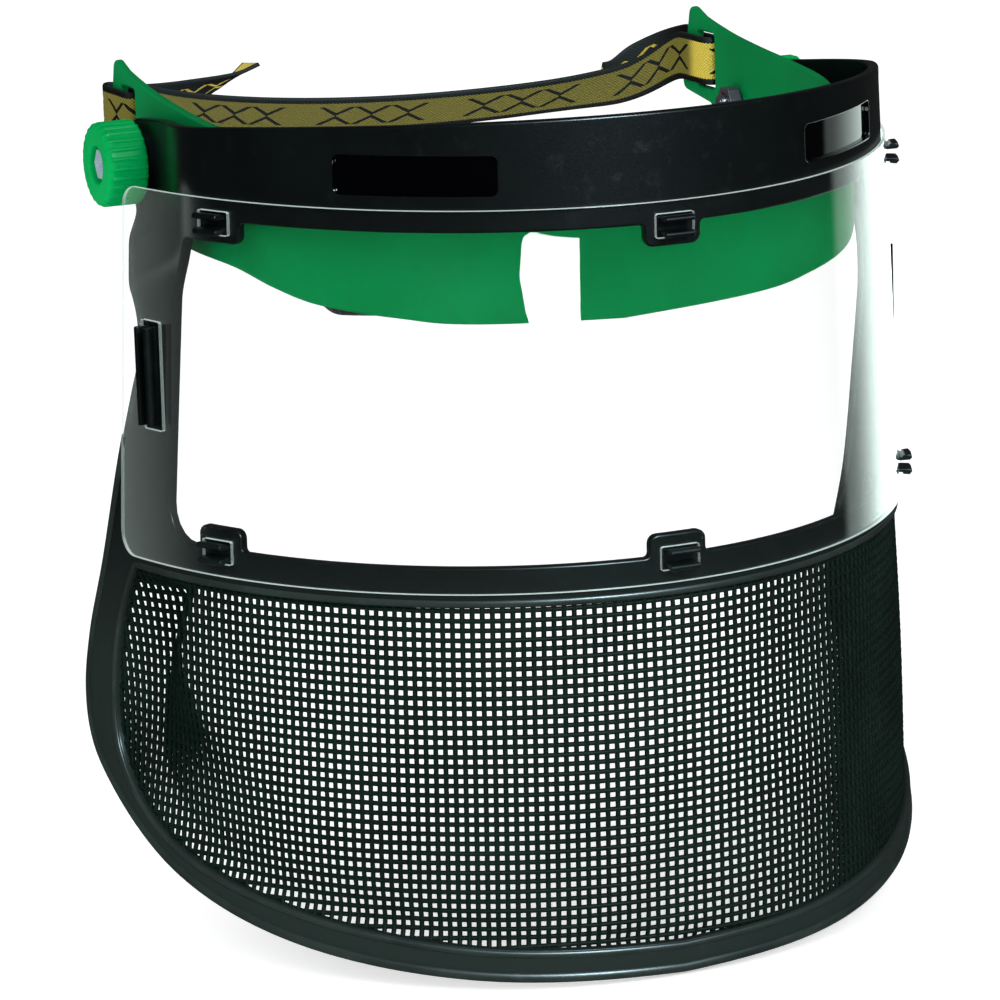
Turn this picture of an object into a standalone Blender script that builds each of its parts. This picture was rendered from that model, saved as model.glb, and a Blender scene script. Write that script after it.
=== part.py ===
"""Face shield with a clear lens above a mesh lower screen, hung from a headband by two knobs.

Frame: the origin is the bottom centre of the whole shield's box, +Z is up, -Y is the way the
wearer looks and +X is the wearer's left. Driving dimensions are in millimetres, and are counted
from the middle of the pivot axis that the two knobs share.
"""

import math

import bmesh
import bpy
import numpy
from mathutils import Matrix, Vector, geometry

MM = 0.001

# Middle of the pivot axis, seen from the origin
PIVOT_Y = 17.6
PIVOT_HEIGHT = 211.03

# Gaps and mesh density
GAP = 0.3
COLUMN_STEP = 8.0
CORNER_STEPS = 4
WELD = 1e-6

# Visor shell: an ellipse seen from above, wrapped by sheets laid out flat as (arc length, height)
SHELL_HALF_WIDTH = 112.6
SHELL_DEPTH = 143.0
SHELL_CENTRE_Y = 6.0
# Going down, the ellipse grows wider and shallower, and its centre moves forward
FLARE_START_Z = 14.5
FLARE_WIDTH = 0.0002
FLARE_DEPTH = -0.00057
FLARE_FORWARD = 0.063
FRAME_THICKNESS = 3.0

# Arms that leave the ellipse and run in to the pivots
ARM_LEAVES_AT = 132.0
ARM_X = 93.7
ARM_STRAIGHT_FROM = 18.0
ARM_END_RADIUS = 11.7
ARM_FULL_Z = -12.0
ARM_NONE_Z = -30.0
PIVOT_FORWARD = 6.0

# Brow band and its two blind recesses
BAND_TOP_Z = 22.8
BAND_TOP_DROP = 7.6
BAND_TOP_DROP_AT = 160.0
RECESS_START = 45.8
RECESS_END = 89.5
RECESS_LOW_Z = 3.3
RECESS_HIGH_Z = 13.3
RECESS_DEPTH = 1.2

# Window in the frame
WINDOW_TOP_Z = -6.6
WINDOW_LOW_Z = -95.4
WINDOW_HALF_TOP = 142.5
WINDOW_HALF_LOW = 152.0
WINDOW_RADIUS = 9.0
TAB_WIDTH = 16.0
TAB_REACH = 6.0
TAB_RADIUS = 2.5

# Snap pegs that hold the lens
PEG_ARC_TOP = 128.0
PEG_ARC_LOW = 130.5
PEG_TOP_Z = -7.0
PEG_LOW_Z = -95.8
PEG_WIDTH = 8.5
PEG_HEIGHT = 4.8
PRONG_THICKNESS = 1.3
PEG_REACH = 6.4
SIDE_PEG_ARC = 155.0
SIDE_PEG_Z = -51.0
SIDE_PEG_LENGTH = 27.0

# Lens
LENS_THICKNESS = 1.0
LENS_TOP_Z = -0.5
LENS_LOW_Z = -102.5
LENS_HALF_TOP = 165.5
LENS_HALF_LOW = 174.5
LENS_RADIUS = 6.5
LENS_HOLE_WIDTH = 10.4
LENS_HOLE_HEIGHT = 6.2
LENS_SLOT_WIDTH = 8.0
LENS_SLOT_LENGTH = 29.5

# Mesh screen below the window
MESH_THICKNESS = 0.8
MESH_TOP_Z = -106.4
MESH_TOP_HALF = 169.0
MESH_LAP = 4.0

# Headband: a squarish oval seen from above that draws in and runs straight back as two ears
EAR_X = 89.55
EAR_FROM = 12.0
BULGE_FROM = 45.0
BROW_HALF_WIDTH = 95.0
BROW_CENTRE = 20.0
BROW_DEPTH = 92.0
BROW_SQUARENESS = 3.0
BAND_THICKNESS = 2.5
CREASE_Z = -12.0
CREASE_LEAN = 0.2
EAR_SLOT_REAR = -19.0
EAR_SLOT_FRONT = -8.5
EAR_SLOT_LOW_Z = 1.5
EAR_SLOT_HIGH_Z = 17.5

# Foam pad inside the forehead plate
PAD_THICKNESS = 5.0
PAD_HALF_LENGTH = 88.0
PAD_HIGH_Z = 4.0
PAD_LOW_Z = -33.0
PAD_RADIUS = 8.0

# Elastic strap
STRAP_WIDTH = 14.0
STRAP_THICKNESS = 1.2
STRAP_X = 87.0
STRAP_START_FORWARD = -27.0
STRAP_REACH_BACK = 50.0
STRAP_Z = 9.5
STRAP_SAG = 16.0
STRAP_TILT = 5.5
STRAP_TWIST = 38.0
# Free ends of the strap, seen from above, from the tip to the ear: (sideways, forward)
LOOSE_TAIL = [(24.0, -97.0), (31.0, -93.0), (50.0, -80.0), (66.0, -66.0), (80.0, -51.0), (89.0, -39.5)]
CURLED_TAIL = [(75.0, -56.5), (80.5, -62.5), (88.0, -64.5), (95.0, -58.5), (98.0, -47.0), (95.5, -35.5)]
TAIL_LIFT = 4.0

# Pivot hardware, as distances from the middle plane
BOLT_RADIUS = 2.4
CLEAR_RADIUS = 2.9
FRICTION_WASHER = (91.1, 91.9, 9.5)
OUTER_WASHER = (95.5, 96.4, 7.5)
NUT = (84.0, 88.0)
HEX_FLATS = 8.0
HEAD = (102.4, 105.6)
BOLT_END = 82.0
KNOB = (96.7, 108.2)
KNOB_RADIUS = 11.7
KNOB_RIBS = 26
KNOB_RIB_DEPTH = 0.55
KNOB_EDGE = 1.8
KNOB_RECESS_RADIUS = 5.2
KNOB_RECESS_DEPTH = 2.3


def clear_scene():
    """Removes whatever objects the file holds."""
    for item in list(bpy.data.objects):
        bpy.data.objects.remove(item, do_unlink=True)


def new_collection(name):
    made = bpy.data.collections.new(name)
    bpy.context.scene.collection.children.link(made)
    return made


clear_scene()
PARTS = new_collection("face_shield")
CUTTERS = new_collection("face_shield_cutters")


def make_material(name, colour, roughness, metallic=0.0, alpha=1.0):
    made = bpy.data.materials.new(name)
    made.use_nodes = True
    shader = made.node_tree.nodes["Principled BSDF"]
    shader.inputs["Base Color"].default_value = (*colour, 1.0)
    shader.inputs["Roughness"].default_value = roughness
    shader.inputs["Metallic"].default_value = metallic
    shader.inputs["Alpha"].default_value = alpha
    made.diffuse_color = (*colour, alpha)
    return made


# ---- outlines -------------------------------------------------------------------------------


def rounded(corners, steps=CORNER_STEPS):
    """Closed polygon from (x, y, radius) corners, each corner turned into an arc."""
    points = []
    count = len(corners)
    for index, (x, y, radius) in enumerate(corners):
        if radius <= 0.0:
            points.append((x, y))
            continue
        here = Vector((x, y))
        before = Vector(corners[index - 1][:2]) - here
        after = Vector(corners[(index + 1) % count][:2]) - here
        before.normalize()
        after.normalize()
        half_angle = before.angle(after) / 2.0
        reach = radius / math.tan(half_angle)
        centre = here + (before + after).normalized() * (radius / math.sin(half_angle))
        start = here + before * reach - centre
        turn = Vector(start).angle_signed(here + after * reach - centre)
        for step in range(steps + 1):
            spin = Matrix.Rotation(-turn * step / steps, 2)
            spot = centre + spin @ start
            points.append((spot.x, spot.y))
    return points


def box_outline(centre_x, centre_y, width, height, radius):
    x, y = width / 2.0, height / 2.0
    corners = [(-x, -y), (x, -y), (x, y), (-x, y)]
    return rounded([(centre_x + cx, centre_y + cy, radius) for cx, cy in corners])


def circle_outline(centre_x, centre_y, radius, count=24):
    angles = [2.0 * math.pi * index / count for index in range(count)]
    return [(centre_x + radius * math.cos(a), centre_y + radius * math.sin(a)) for a in angles]


def smooth_through(knots, steps=4):
    """Catmull-Rom curve through the knots, open at both ends."""
    knots = [Vector(knot) for knot in knots]
    padded = [2 * knots[0] - knots[1], *knots, 2 * knots[-1] - knots[-2]]
    points = []
    for index in range(1, len(padded) - 2):
        p0, p1, p2, p3 = padded[index - 1 : index + 3]
        for step in range(steps):
            t = step / steps
            spot = 0.5 * (
                2 * p1
                + (p2 - p0) * t
                + (2 * p0 - 5 * p1 + 4 * p2 - p3) * t**2
                + (3 * p1 - p0 - 3 * p2 + p3) * t**3
            )
            points.append((spot.x, spot.y))
    points.append(tuple(knots[-1]))
    return points


def mirrored(half):
    """Whole outline from its +X half, which runs from the top centre to the bottom centre."""
    other = [(-x, y) for x, y in reversed(half) if x > 1e-9]
    return half + other


def counter_clockwise(loop):
    """The same closed outline, run counter-clockwise."""
    twice_area = sum(a[0] * b[1] - b[0] * a[1] for a, b in zip(loop, loop[1:] + loop[:1]))
    return loop if twice_area > 0.0 else loop[::-1]


# ---- curved paths seen from above -----------------------------------------------------------


class Path:
    """Right half of a symmetric path as (x, forward), looked up by arc length from the front."""

    def __init__(self, points):
        self.points = numpy.array(points)
        steps = numpy.hypot(*numpy.diff(self.points, axis=0).T)
        self.arc = numpy.concatenate([[0.0], numpy.cumsum(steps)])

    def at(self, arc):
        return numpy.array([numpy.interp(arc, self.arc, self.points[:, axis]) for axis in (0, 1)])


def ellipse_points(half_width, depth, last_angle, count=600):
    angles = numpy.linspace(0.0, last_angle, count)
    return [(half_width * math.sin(a), depth * math.cos(a)) for a in angles]


SHELL_PATH = Path(ellipse_points(SHELL_HALF_WIDTH, SHELL_DEPTH, math.radians(125.0)))


def arm_points(count=200):
    """Follows the shell, then turns in along a Hermite curve and ends straight back at ARM_X."""
    front = [tuple(SHELL_PATH.at(arc)) for arc in numpy.linspace(0.0, ARM_LEAVES_AT, 400)]
    start = Vector(front[-1])
    start_way = (start - Vector(front[-2])).normalized()
    end = Vector((ARM_X, ARM_STRAIGHT_FROM))
    end_way = Vector((0.0, -1.0))
    pull = (end - start).length
    turn = []
    for t in numpy.linspace(0.0, 1.0, count)[1:]:
        spot = (
            start * (2 * t**3 - 3 * t**2 + 1)
            + start_way * pull * (t**3 - 2 * t**2 + t)
            + end * (3 * t**2 - 2 * t**3)
            + end_way * pull * (t**3 - t**2)
        )
        turn.append((spot.x, spot.y))
    return front + turn + [(ARM_X, -60.0)]


ARM_PATH = Path(arm_points())
ARM_TURN_END = ARM_PATH.arc[-2]
PIVOT_ARC = ARM_TURN_END + ARM_STRAIGHT_FROM - PIVOT_FORWARD


def smooth_step(value):
    value = min(max(value, 0.0), 1.0)
    return value * value * (3.0 - 2.0 * value)


def headband_points(count=600):
    """Superellipse that narrows to the ears' distance apart and then runs straight back."""
    points = []
    for share in numpy.linspace(0.0, 1.0, count):
        angle = share * math.pi / 2.0
        x = BROW_HALF_WIDTH * math.sin(angle) ** (2.0 / BROW_SQUARENESS)
        forward = BROW_CENTRE + BROW_DEPTH * math.cos(angle) ** (2.0 / BROW_SQUARENESS)
        if forward < BULGE_FROM:
            bulge = smooth_step((forward - EAR_FROM) / (BULGE_FROM - EAR_FROM))
            x = EAR_X + (x - EAR_X) * bulge
        points.append((x, forward))
    for forward in numpy.linspace(BROW_CENTRE, EAR_FROM, 12)[1:]:
        bulge = smooth_step((forward - EAR_FROM) / (BULGE_FROM - EAR_FROM))
        points.append((EAR_X + (BROW_HALF_WIDTH - EAR_X) * bulge, forward))
    return points + [(EAR_X, -60.0)]


HEADBAND_PATH = Path(headband_points())
EAR_START_ARC = HEADBAND_PATH.arc[-2]


def ear_arc(forward):
    """Arc length on the headband of a place on its straight ear."""
    return EAR_START_ARC + EAR_FROM - forward


def wrap(place_at, arc, z, offset):
    """World point of a flat (arc, z) place, moved out along the path's normal."""
    side = -1.0 if arc < 0.0 else 1.0
    here = place_at(abs(arc), z)
    ahead = place_at(abs(arc) + 0.5, z)
    back = place_at(max(abs(arc) - 0.5, 0.0), z)
    way = (ahead - back) / numpy.hypot(*(ahead - back))
    if abs(arc) < 0.5:
        way = numpy.array([1.0, 0.0])
    x = here[0] - way[1] * offset
    forward = here[1] + way[0] * offset
    return Vector((side * x, SHELL_CENTRE_Y - forward, z)) * MM


def shell_place(arc, z):
    drop = max(FLARE_START_Z - z, 0.0)
    x, forward = SHELL_PATH.at(arc)
    x *= 1.0 + FLARE_WIDTH * drop
    forward = forward * (1.0 + FLARE_DEPTH * drop) + FLARE_FORWARD * drop
    return numpy.array([x, forward])


def frame_place(arc, z):
    """Shell that turns into the arms at pivot height."""
    shell = shell_place(arc, z)
    flare = shell - SHELL_PATH.at(arc)
    fade = 1.0 - smooth_step((arc - ARM_LEAVES_AT) / (ARM_TURN_END - ARM_LEAVES_AT))
    arm = ARM_PATH.at(arc) + flare * fade
    share = smooth_step((z - ARM_NONE_Z) / (ARM_FULL_Z - ARM_NONE_Z))
    return shell * (1.0 - share) + arm * share


def headband_place(arc, z):
    """Headband that leans in above its crease, except at the ears, which stand upright."""
    x, forward = HEADBAND_PATH.at(arc)
    before = HEADBAND_PATH.at(max(arc - 0.5, 0.0))
    after = HEADBAND_PATH.at(arc + 0.5)
    way = (after - before) / numpy.hypot(*(after - before))
    lean = CREASE_LEAN * max(z - CREASE_Z, 0.0)
    lean *= smooth_step((forward - EAR_FROM) / (BULGE_FROM - EAR_FROM))
    return numpy.array([x + way[1] * lean, forward - way[0] * lean])


def wrap_shell(arc, z, offset):
    return wrap(shell_place, arc, z, offset)


def wrap_frame(arc, z, offset):
    return wrap(frame_place, arc, z, offset)


def wrap_headband(arc, z, offset):
    return wrap(headband_place, arc, z, offset)


# ---- building blocks ------------------------------------------------------------------------


def mesh_object(name, mesh, collection=None):
    made = bpy.data.objects.new(name, mesh)
    (collection or PARTS).objects.link(made)
    return made


def hide_as_tool(item):
    item.display_type = "WIRE"
    item.hide_render = True


def flat_plate(name, loops, thickness):
    """Flat plate from closed outlines in millimetres; outlines inside the first are holes."""
    curve = bpy.data.curves.new(name, "CURVE")
    curve.dimensions = "2D"
    curve.fill_mode = "BOTH"
    curve.extrude = thickness / 2.0 * MM
    for loop in loops:
        spline = curve.splines.new("POLY")
        spline.points.add(len(loop) - 1)
        for point, (x, y) in zip(spline.points, loop):
            point.co = (x * MM, y * MM, 0.0, 1.0)
        spline.use_cyclic_u = True
    holder = bpy.data.objects.new(name, curve)
    PARTS.objects.link(holder)
    graph = bpy.context.evaluated_depsgraph_get()
    mesh = bpy.data.meshes.new_from_object(holder.evaluated_get(graph))
    bpy.data.objects.remove(holder, do_unlink=True)
    bpy.data.curves.remove(curve)
    mesh.name = name
    shape = bmesh.new()
    shape.from_mesh(mesh)
    bmesh.ops.remove_doubles(shape, verts=shape.verts, dist=WELD)
    bmesh.ops.recalc_face_normals(shape, faces=shape.faces)
    bmesh.ops.dissolve_limit(shape, angle_limit=0.001, verts=shape.verts, edges=shape.edges)
    shape.to_mesh(mesh)
    shape.free()
    return mesh


def bent_plate(name, loops, thickness, offset, bend, rows=(), collection=None):
    """Sheet from closed flat outlines, wrapped round a path and thickened by Solidify.

    Outlines inside the first are holes. Upright columns and level rows cut the sheet, so that
    it follows the path, and each corner is then moved to its place on it.
    """
    points = []
    lines = []
    outlines = []
    for loop in loops:
        outlines.append(list(range(len(points), len(points) + len(loop))))
        points += [Vector(point) for point in counter_clockwise(loop)]
    side = max(x for x, _ in loops[0]) + 1.0
    low = min(y for _, y in loops[0]) - 1.0
    high = max(y for _, y in loops[0]) + 1.0
    columns = int(side / COLUMN_STEP)
    cuts = [
        ((index * COLUMN_STEP, low), (index * COLUMN_STEP, high))
        for index in range(-columns, columns + 1)
    ]
    cuts += [((-side, z), (side, z)) for z in rows]
    for start, end in cuts:
        lines.append((len(points), len(points) + 1))
        points += [Vector(start), Vector(end)]
    cut = geometry.delaunay_2d_cdt(points, lines, outlines, 1, 1e-4)
    places, triangles, owners = cut[0], cut[2], cut[5]
    shape = bmesh.new()
    corners = [shape.verts.new(bend(place.x, place.y, offset)) for place in places]
    for triangle, owner in zip(triangles, owners):
        if list(owner) == [0]:
            shape.faces.new([corners[index] for index in triangle])
    loose = [vert for vert in shape.verts if not vert.link_faces]
    bmesh.ops.delete(shape, geom=loose, context="VERTS")
    bmesh.ops.recalc_face_normals(shape, faces=shape.faces)
    mesh = bpy.data.meshes.new(name)
    shape.to_mesh(mesh)
    shape.free()
    made = mesh_object(name, mesh, collection)
    thick = made.modifiers.new("thickness", "SOLIDIFY")
    thick.thickness = thickness * MM
    thick.offset = 0.0
    thick.use_even_offset = True
    apply_modifiers(made)
    made.data.shade_smooth()
    made.data.set_sharp_from_angle(angle=math.radians(30.0))
    return made


def apply_modifiers(item):
    graph = bpy.context.evaluated_depsgraph_get()
    mesh = bpy.data.meshes.new_from_object(item.evaluated_get(graph))
    item.modifiers.clear()
    item.data = mesh


def apply_boolean(target, tool, operation):
    """Applies an EXACT Boolean and keeps its tool as a hidden wire."""
    step = target.modifiers.new(tool.name, "BOOLEAN")
    step.object = tool
    step.operation = operation
    step.solver = "EXACT"
    apply_modifiers(target)
    hide_as_tool(tool)


def weld_slivers(item, distance=WELD):
    shape = bmesh.new()
    shape.from_mesh(item.data)
    bmesh.ops.remove_doubles(shape, verts=shape.verts, dist=distance)
    bmesh.ops.dissolve_degenerate(shape, edges=shape.edges, dist=WELD)
    shape.to_mesh(item.data)
    shape.free()


def facing_sideways(item, side):
    """Turns a piece built along +Z so that it points out along the pivot axis of one side."""
    item.rotation_euler = (0.0, side * math.pi / 2.0, 0.0)


# ---- visor ----------------------------------------------------------------------------------

# The frame's rear and bottom edge, from the arm's lower edge round to the bottom centre
FRAME_EDGE = [
    (PIVOT_ARC + 5.0, -13.5),
    (190.0, -19.0),
    (170.0, -26.0),
    (163.5, -36.0),
    (164.0, -48.0),
    (168.0, -58.0),
    (175.5, -75.0),
    (188.5, -106.0),
    (201.5, -129.0),
    (208.0, -146.0),
    (205.0, -159.5),
    (190.5, -170.5),
    (154.5, -188.5),
    (110.0, -201.0),
    (56.0, -208.6),
    (0.0, -211.0),
]
# Edge of the mesh opening, from its upper corner to the bottom centre
OPENING_EDGE = [
    (MESH_TOP_HALF, MESH_TOP_Z),
    (176.0, -117.0),
    (182.5, -133.0),
    (185.0, -150.0),
    (181.0, -162.0),
    (167.0, -174.0),
    (145.0, -183.5),
    (104.0, -192.5),
    (54.0, -199.5),
    (0.0, -202.0),
]


def band_top(arc):
    return BAND_TOP_Z - BAND_TOP_DROP * (arc / BAND_TOP_DROP_AT) ** 2


def frame_outline():
    top = [(arc, band_top(arc)) for arc in numpy.linspace(0.0, BAND_TOP_DROP_AT, 17)]
    angles = [math.radians(angle) for angle in range(90, -46, -15)]
    end = [
        (PIVOT_ARC + ARM_END_RADIUS * math.cos(a), ARM_END_RADIUS * math.sin(a)) for a in angles
    ]
    return mirrored(top + end + smooth_through(FRAME_EDGE))


def window_outline():
    """Window with six tabs that reach into it behind the pegs."""
    slope = (WINDOW_HALF_LOW - WINDOW_HALF_TOP) / (WINDOW_TOP_Z - WINDOW_LOW_Z)
    half = TAB_WIDTH / 2.0
    top_tab = WINDOW_TOP_Z - TAB_REACH
    low_tab = WINDOW_LOW_Z + TAB_REACH
    r = TAB_RADIUS
    right = [
        (half, top_tab, r),
        (half, WINDOW_TOP_Z, 0.0),
        (PEG_ARC_TOP - half, WINDOW_TOP_Z, 0.0),
        (PEG_ARC_TOP - half, top_tab, r),
        (WINDOW_HALF_TOP + slope * TAB_REACH, top_tab, WINDOW_RADIUS * 0.4),
        (WINDOW_HALF_LOW, WINDOW_LOW_Z, WINDOW_RADIUS),
        (PEG_ARC_LOW + half, WINDOW_LOW_Z, 0.0),
        (PEG_ARC_LOW + half, low_tab, r),
        (PEG_ARC_LOW - half, low_tab, r),
        (PEG_ARC_LOW - half, WINDOW_LOW_Z, 0.0),
        (half, WINDOW_LOW_Z, 0.0),
        (half, low_tab, r),
    ]
    left = [(-x, y, radius) for x, y, radius in reversed(right)]
    return rounded(right + left)


def peg(name, side_arc, z, width, height):
    """Two barbed prongs with a gap between them, standing out of the frame."""
    inner = FRAME_THICKNESS / 2.0 - 1.0
    low = height / 2.0 - PRONG_THICKNESS
    profile = [
        (inner, low - 0.1),
        (PEG_REACH - 0.6, low + 0.25),
        (PEG_REACH, low + 0.9),
        (PEG_REACH - 0.8, low + PRONG_THICKNESS + 0.5),
        (PEG_REACH - 2.6, low + PRONG_THICKNESS + 0.3),
        (PEG_REACH - 2.8, low + PRONG_THICKNESS - 0.2),
        (inner, low + PRONG_THICKNESS - 0.2),
    ]
    prongs = []
    for sign in (1.0, -1.0):
        mesh = flat_plate(name, [[(out, sign * up) for out, up in profile]], width)
        prongs.append(mesh)
    out_way = wrap_shell(side_arc, z, 1.0) - wrap_shell(side_arc, z, 0.0)
    out_way.normalize()
    return prongs, out_way, wrap_shell(side_arc, z, 0.0)


def place_prongs(prongs, out_way, spot, upright, name):
    """Stands the prongs on the shell; upright ones part sideways instead of up and down."""
    up = Vector((0.0, 0.0, 1.0))
    across = up.cross(out_way)
    part_way = across if upright else up
    third = out_way.cross(part_way)
    turn = Matrix((out_way, part_way, third)).transposed().to_4x4()
    made = []
    for index, mesh in enumerate(prongs):
        mesh.transform(Matrix.Translation(spot) @ turn)
        made.append(mesh_object(f"{name}_{index}", mesh, CUTTERS))
    return made


def frame_pegs():
    made = []
    spots = [(0.0, PEG_TOP_Z), (0.0, PEG_LOW_Z)]
    spots += [(side * PEG_ARC_TOP, PEG_TOP_Z) for side in (-1.0, 1.0)]
    spots += [(side * PEG_ARC_LOW, PEG_LOW_Z) for side in (-1.0, 1.0)]
    for index, (arc, z) in enumerate(spots):
        prongs, way, spot = peg(f"peg_{index}", arc, z, PEG_WIDTH, PEG_HEIGHT)
        made += place_prongs(prongs, way, spot, False, f"peg_{index}")
    for side in (-1.0, 1.0):
        name = "side_peg_left" if side > 0 else "side_peg_right"
        prongs, way, spot = peg(name, side * SIDE_PEG_ARC, SIDE_PEG_Z, SIDE_PEG_LENGTH, PEG_HEIGHT)
        made += place_prongs(prongs, way, spot, True, name)
    return made


def mesh_outline(grow):
    """Mesh panel's outline: the opening's edge moved out by the given amount."""
    knots = [Vector(point) for point in OPENING_EDGE]
    moved = []
    for index, knot in enumerate(knots):
        before = knots[max(index - 1, 0)]
        after = knots[min(index + 1, len(knots) - 1)]
        way = (after - before).normalized()
        moved.append(knot + Vector((-way.y, way.x)) * grow)
    moved[0] = Vector((knots[0].x + grow, MESH_TOP_Z + grow))
    moved[-1] = Vector((0.0, knots[-1].y - grow))
    return mirrored([(0.0, MESH_TOP_Z + grow)] + smooth_through(moved))


def build_visor_frame(finish):
    opening = mirrored([(0.0, MESH_TOP_Z)] + smooth_through(OPENING_EDGE))
    loops = [
        frame_outline(),
        window_outline(),
        opening,
        circle_outline(PIVOT_ARC, 0.0, CLEAR_RADIUS),
        circle_outline(-PIVOT_ARC, 0.0, CLEAR_RADIUS),
    ]
    rows = [ARM_NONE_Z, -25.0, -21.0, -17.0, ARM_FULL_Z, 0.0]
    frame = bent_plate("visor_frame", loops, FRAME_THICKNESS, 0.0, wrap_frame, rows)
    groove = bent_plate(
        "mesh_groove", [mesh_outline(MESH_LAP + GAP)], MESH_THICKNESS + 2 * GAP, 0.0,
        wrap_shell, (), CUTTERS,
    )
    apply_boolean(frame, groove, "DIFFERENCE")
    for side in (-1.0, 1.0):
        middle = side * (RECESS_START + RECESS_END) / 2.0
        height = RECESS_HIGH_Z - RECESS_LOW_Z
        outline = box_outline(
            middle, RECESS_LOW_Z + height / 2.0, RECESS_END - RECESS_START, height, 1.5
        )
        name = "recess_left" if side > 0 else "recess_right"
        depth = FRAME_THICKNESS / 2.0 - RECESS_DEPTH / 2.0 + 0.5
        recess = bent_plate(name, [outline], RECESS_DEPTH + 1.0, depth, wrap_shell, (), CUTTERS)
        apply_boolean(frame, recess, "DIFFERENCE")
    for prong in frame_pegs():
        apply_boolean(frame, prong, "UNION")
    weld_slivers(frame)
    frame.data.materials.clear()
    frame.data.materials.append(finish)
    return frame


def build_clear_lens(finish):
    top, low = LENS_TOP_Z, LENS_LOW_Z
    r = LENS_RADIUS
    outline = rounded([
        (LENS_HALF_TOP, top, r),
        (LENS_HALF_LOW, low, r),
        (-LENS_HALF_LOW, low, r),
        (-LENS_HALF_TOP, top, r),
    ])
    loops = [outline]
    for arc, z in ((PEG_ARC_TOP, PEG_TOP_Z), (PEG_ARC_LOW, PEG_LOW_Z)):
        for side in (-1.0, 0.0, 1.0):
            loops.append(box_outline(side * arc, z, LENS_HOLE_WIDTH, LENS_HOLE_HEIGHT, 0.0))
    for side in (-1.0, 1.0):
        loops.append(
            box_outline(side * SIDE_PEG_ARC, SIDE_PEG_Z, LENS_SLOT_WIDTH, LENS_SLOT_LENGTH, 0.0)
        )
    offset = FRAME_THICKNESS / 2.0 + GAP + LENS_THICKNESS / 2.0
    lens = bent_plate("clear_lens", loops, LENS_THICKNESS, offset, wrap_shell)
    lens.data.materials.append(finish)
    return lens


def build_mesh_panel(finish):
    panel = bent_plate("mesh_panel", [mesh_outline(MESH_LAP)], MESH_THICKNESS, 0.0, wrap_shell)
    panel.data.materials.append(finish)
    return panel


# ---- headband -------------------------------------------------------------------------------

# Lower edge of the headband, from the front centre to the ear's lower rear corner
BAND_LOW_EDGE = [
    (0.0, -37.0),
    (44.0, -34.5),
    (62.0, -32.0),
    (84.0, -28.5),
    (97.0, -25.0),
    (112.0, -21.0),
    (132.0, -19.5),
    (150.0, -18.5),
    (EAR_START_ARC + 3.0, -16.0),
    (EAR_START_ARC + 14.0, -8.5),
    (EAR_START_ARC + 24.0, -3.0),
]
# Upper edge, from the ear's tip to the front centre
BAND_HIGH_EDGE = [
    (EAR_START_ARC + 28.0, 22.0),
    (EAR_START_ARC + 20.0, 20.4),
    (EAR_START_ARC + 6.0, 18.2),
    (EAR_START_ARC - 18.0, 15.8),
    (EAR_START_ARC - 42.0, 14.2),
    (60.0, 10.5),
    (0.0, 8.0),
]
EAR_TIP = (EAR_START_ARC + 36.0, 25.0, 2.5)
EAR_HEEL = (EAR_START_ARC + 42.0, -0.5, 2.5)


def headband_outline():
    low = smooth_through(BAND_LOW_EDGE)
    high = smooth_through(BAND_HIGH_EDGE)
    corner = rounded([(*low[-1], 0.0), EAR_HEEL, EAR_TIP, (*high[0], 0.0)])
    half = list(reversed(low + corner[1:-1] + high))
    return mirrored(half)


def build_headband(finish):
    pivot = ear_arc(PIVOT_FORWARD)
    rear, front = ear_arc(EAR_SLOT_REAR), ear_arc(EAR_SLOT_FRONT)
    slot_z = (EAR_SLOT_LOW_Z + EAR_SLOT_HIGH_Z) / 2.0
    slot_height = EAR_SLOT_HIGH_Z - EAR_SLOT_LOW_Z
    loops = [headband_outline()]
    for side in (-1.0, 1.0):
        loops.append(circle_outline(side * pivot, 0.0, CLEAR_RADIUS))
        middle = side * (rear + front) / 2.0
        loops.append(box_outline(middle, slot_z, rear - front, slot_height, 1.0))
    rows = [CREASE_Z]
    band = bent_plate("headband", loops, BAND_THICKNESS, 0.0, wrap_headband, rows)
    band.data.materials.append(finish)
    return band


def build_sweatband(finish):
    height = PAD_HIGH_Z - PAD_LOW_Z
    outline = box_outline(
        0.0, (PAD_HIGH_Z + PAD_LOW_Z) / 2.0, 2.0 * PAD_HALF_LENGTH, height, PAD_RADIUS
    )
    offset = -(BAND_THICKNESS / 2.0 + GAP + 0.1 + PAD_THICKNESS / 2.0)
    pad = bent_plate(
        "sweatband", [outline], PAD_THICKNESS, offset, wrap_headband, [CREASE_Z]
    )
    pad.data.materials.append(finish)
    return pad


# ---- elastic strap --------------------------------------------------------------------------


def strap_half(tail):
    """Half of the strap seen from above, from its free end to the middle of the back."""
    ear_out = EAR_X + BAND_THICKNESS / 2.0 + 1.1
    turn_radius = (ear_out - STRAP_X) / 2.0
    turn_x = (ear_out + STRAP_X) / 2.0
    turn_forward = EAR_SLOT_REAR + 2.2
    turn = []
    for angle in range(0, 181, 20):
        a = math.radians(angle)
        x = turn_x + turn_radius * math.cos(a)
        turn.append((x, turn_forward + turn_radius * math.sin(a)))
    back_half = []
    for angle in range(0, 91, 5):
        a = math.radians(angle)
        x = STRAP_X * math.cos(a)
        back_half.append((x, STRAP_START_FORWARD - STRAP_REACH_BACK * math.sin(a)))
    outside = tail + [(ear_out, EAR_SLOT_REAR - 11.0), (ear_out, EAR_SLOT_REAR)]
    return smooth_through(outside, 3) + turn[1:] + back_half


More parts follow.
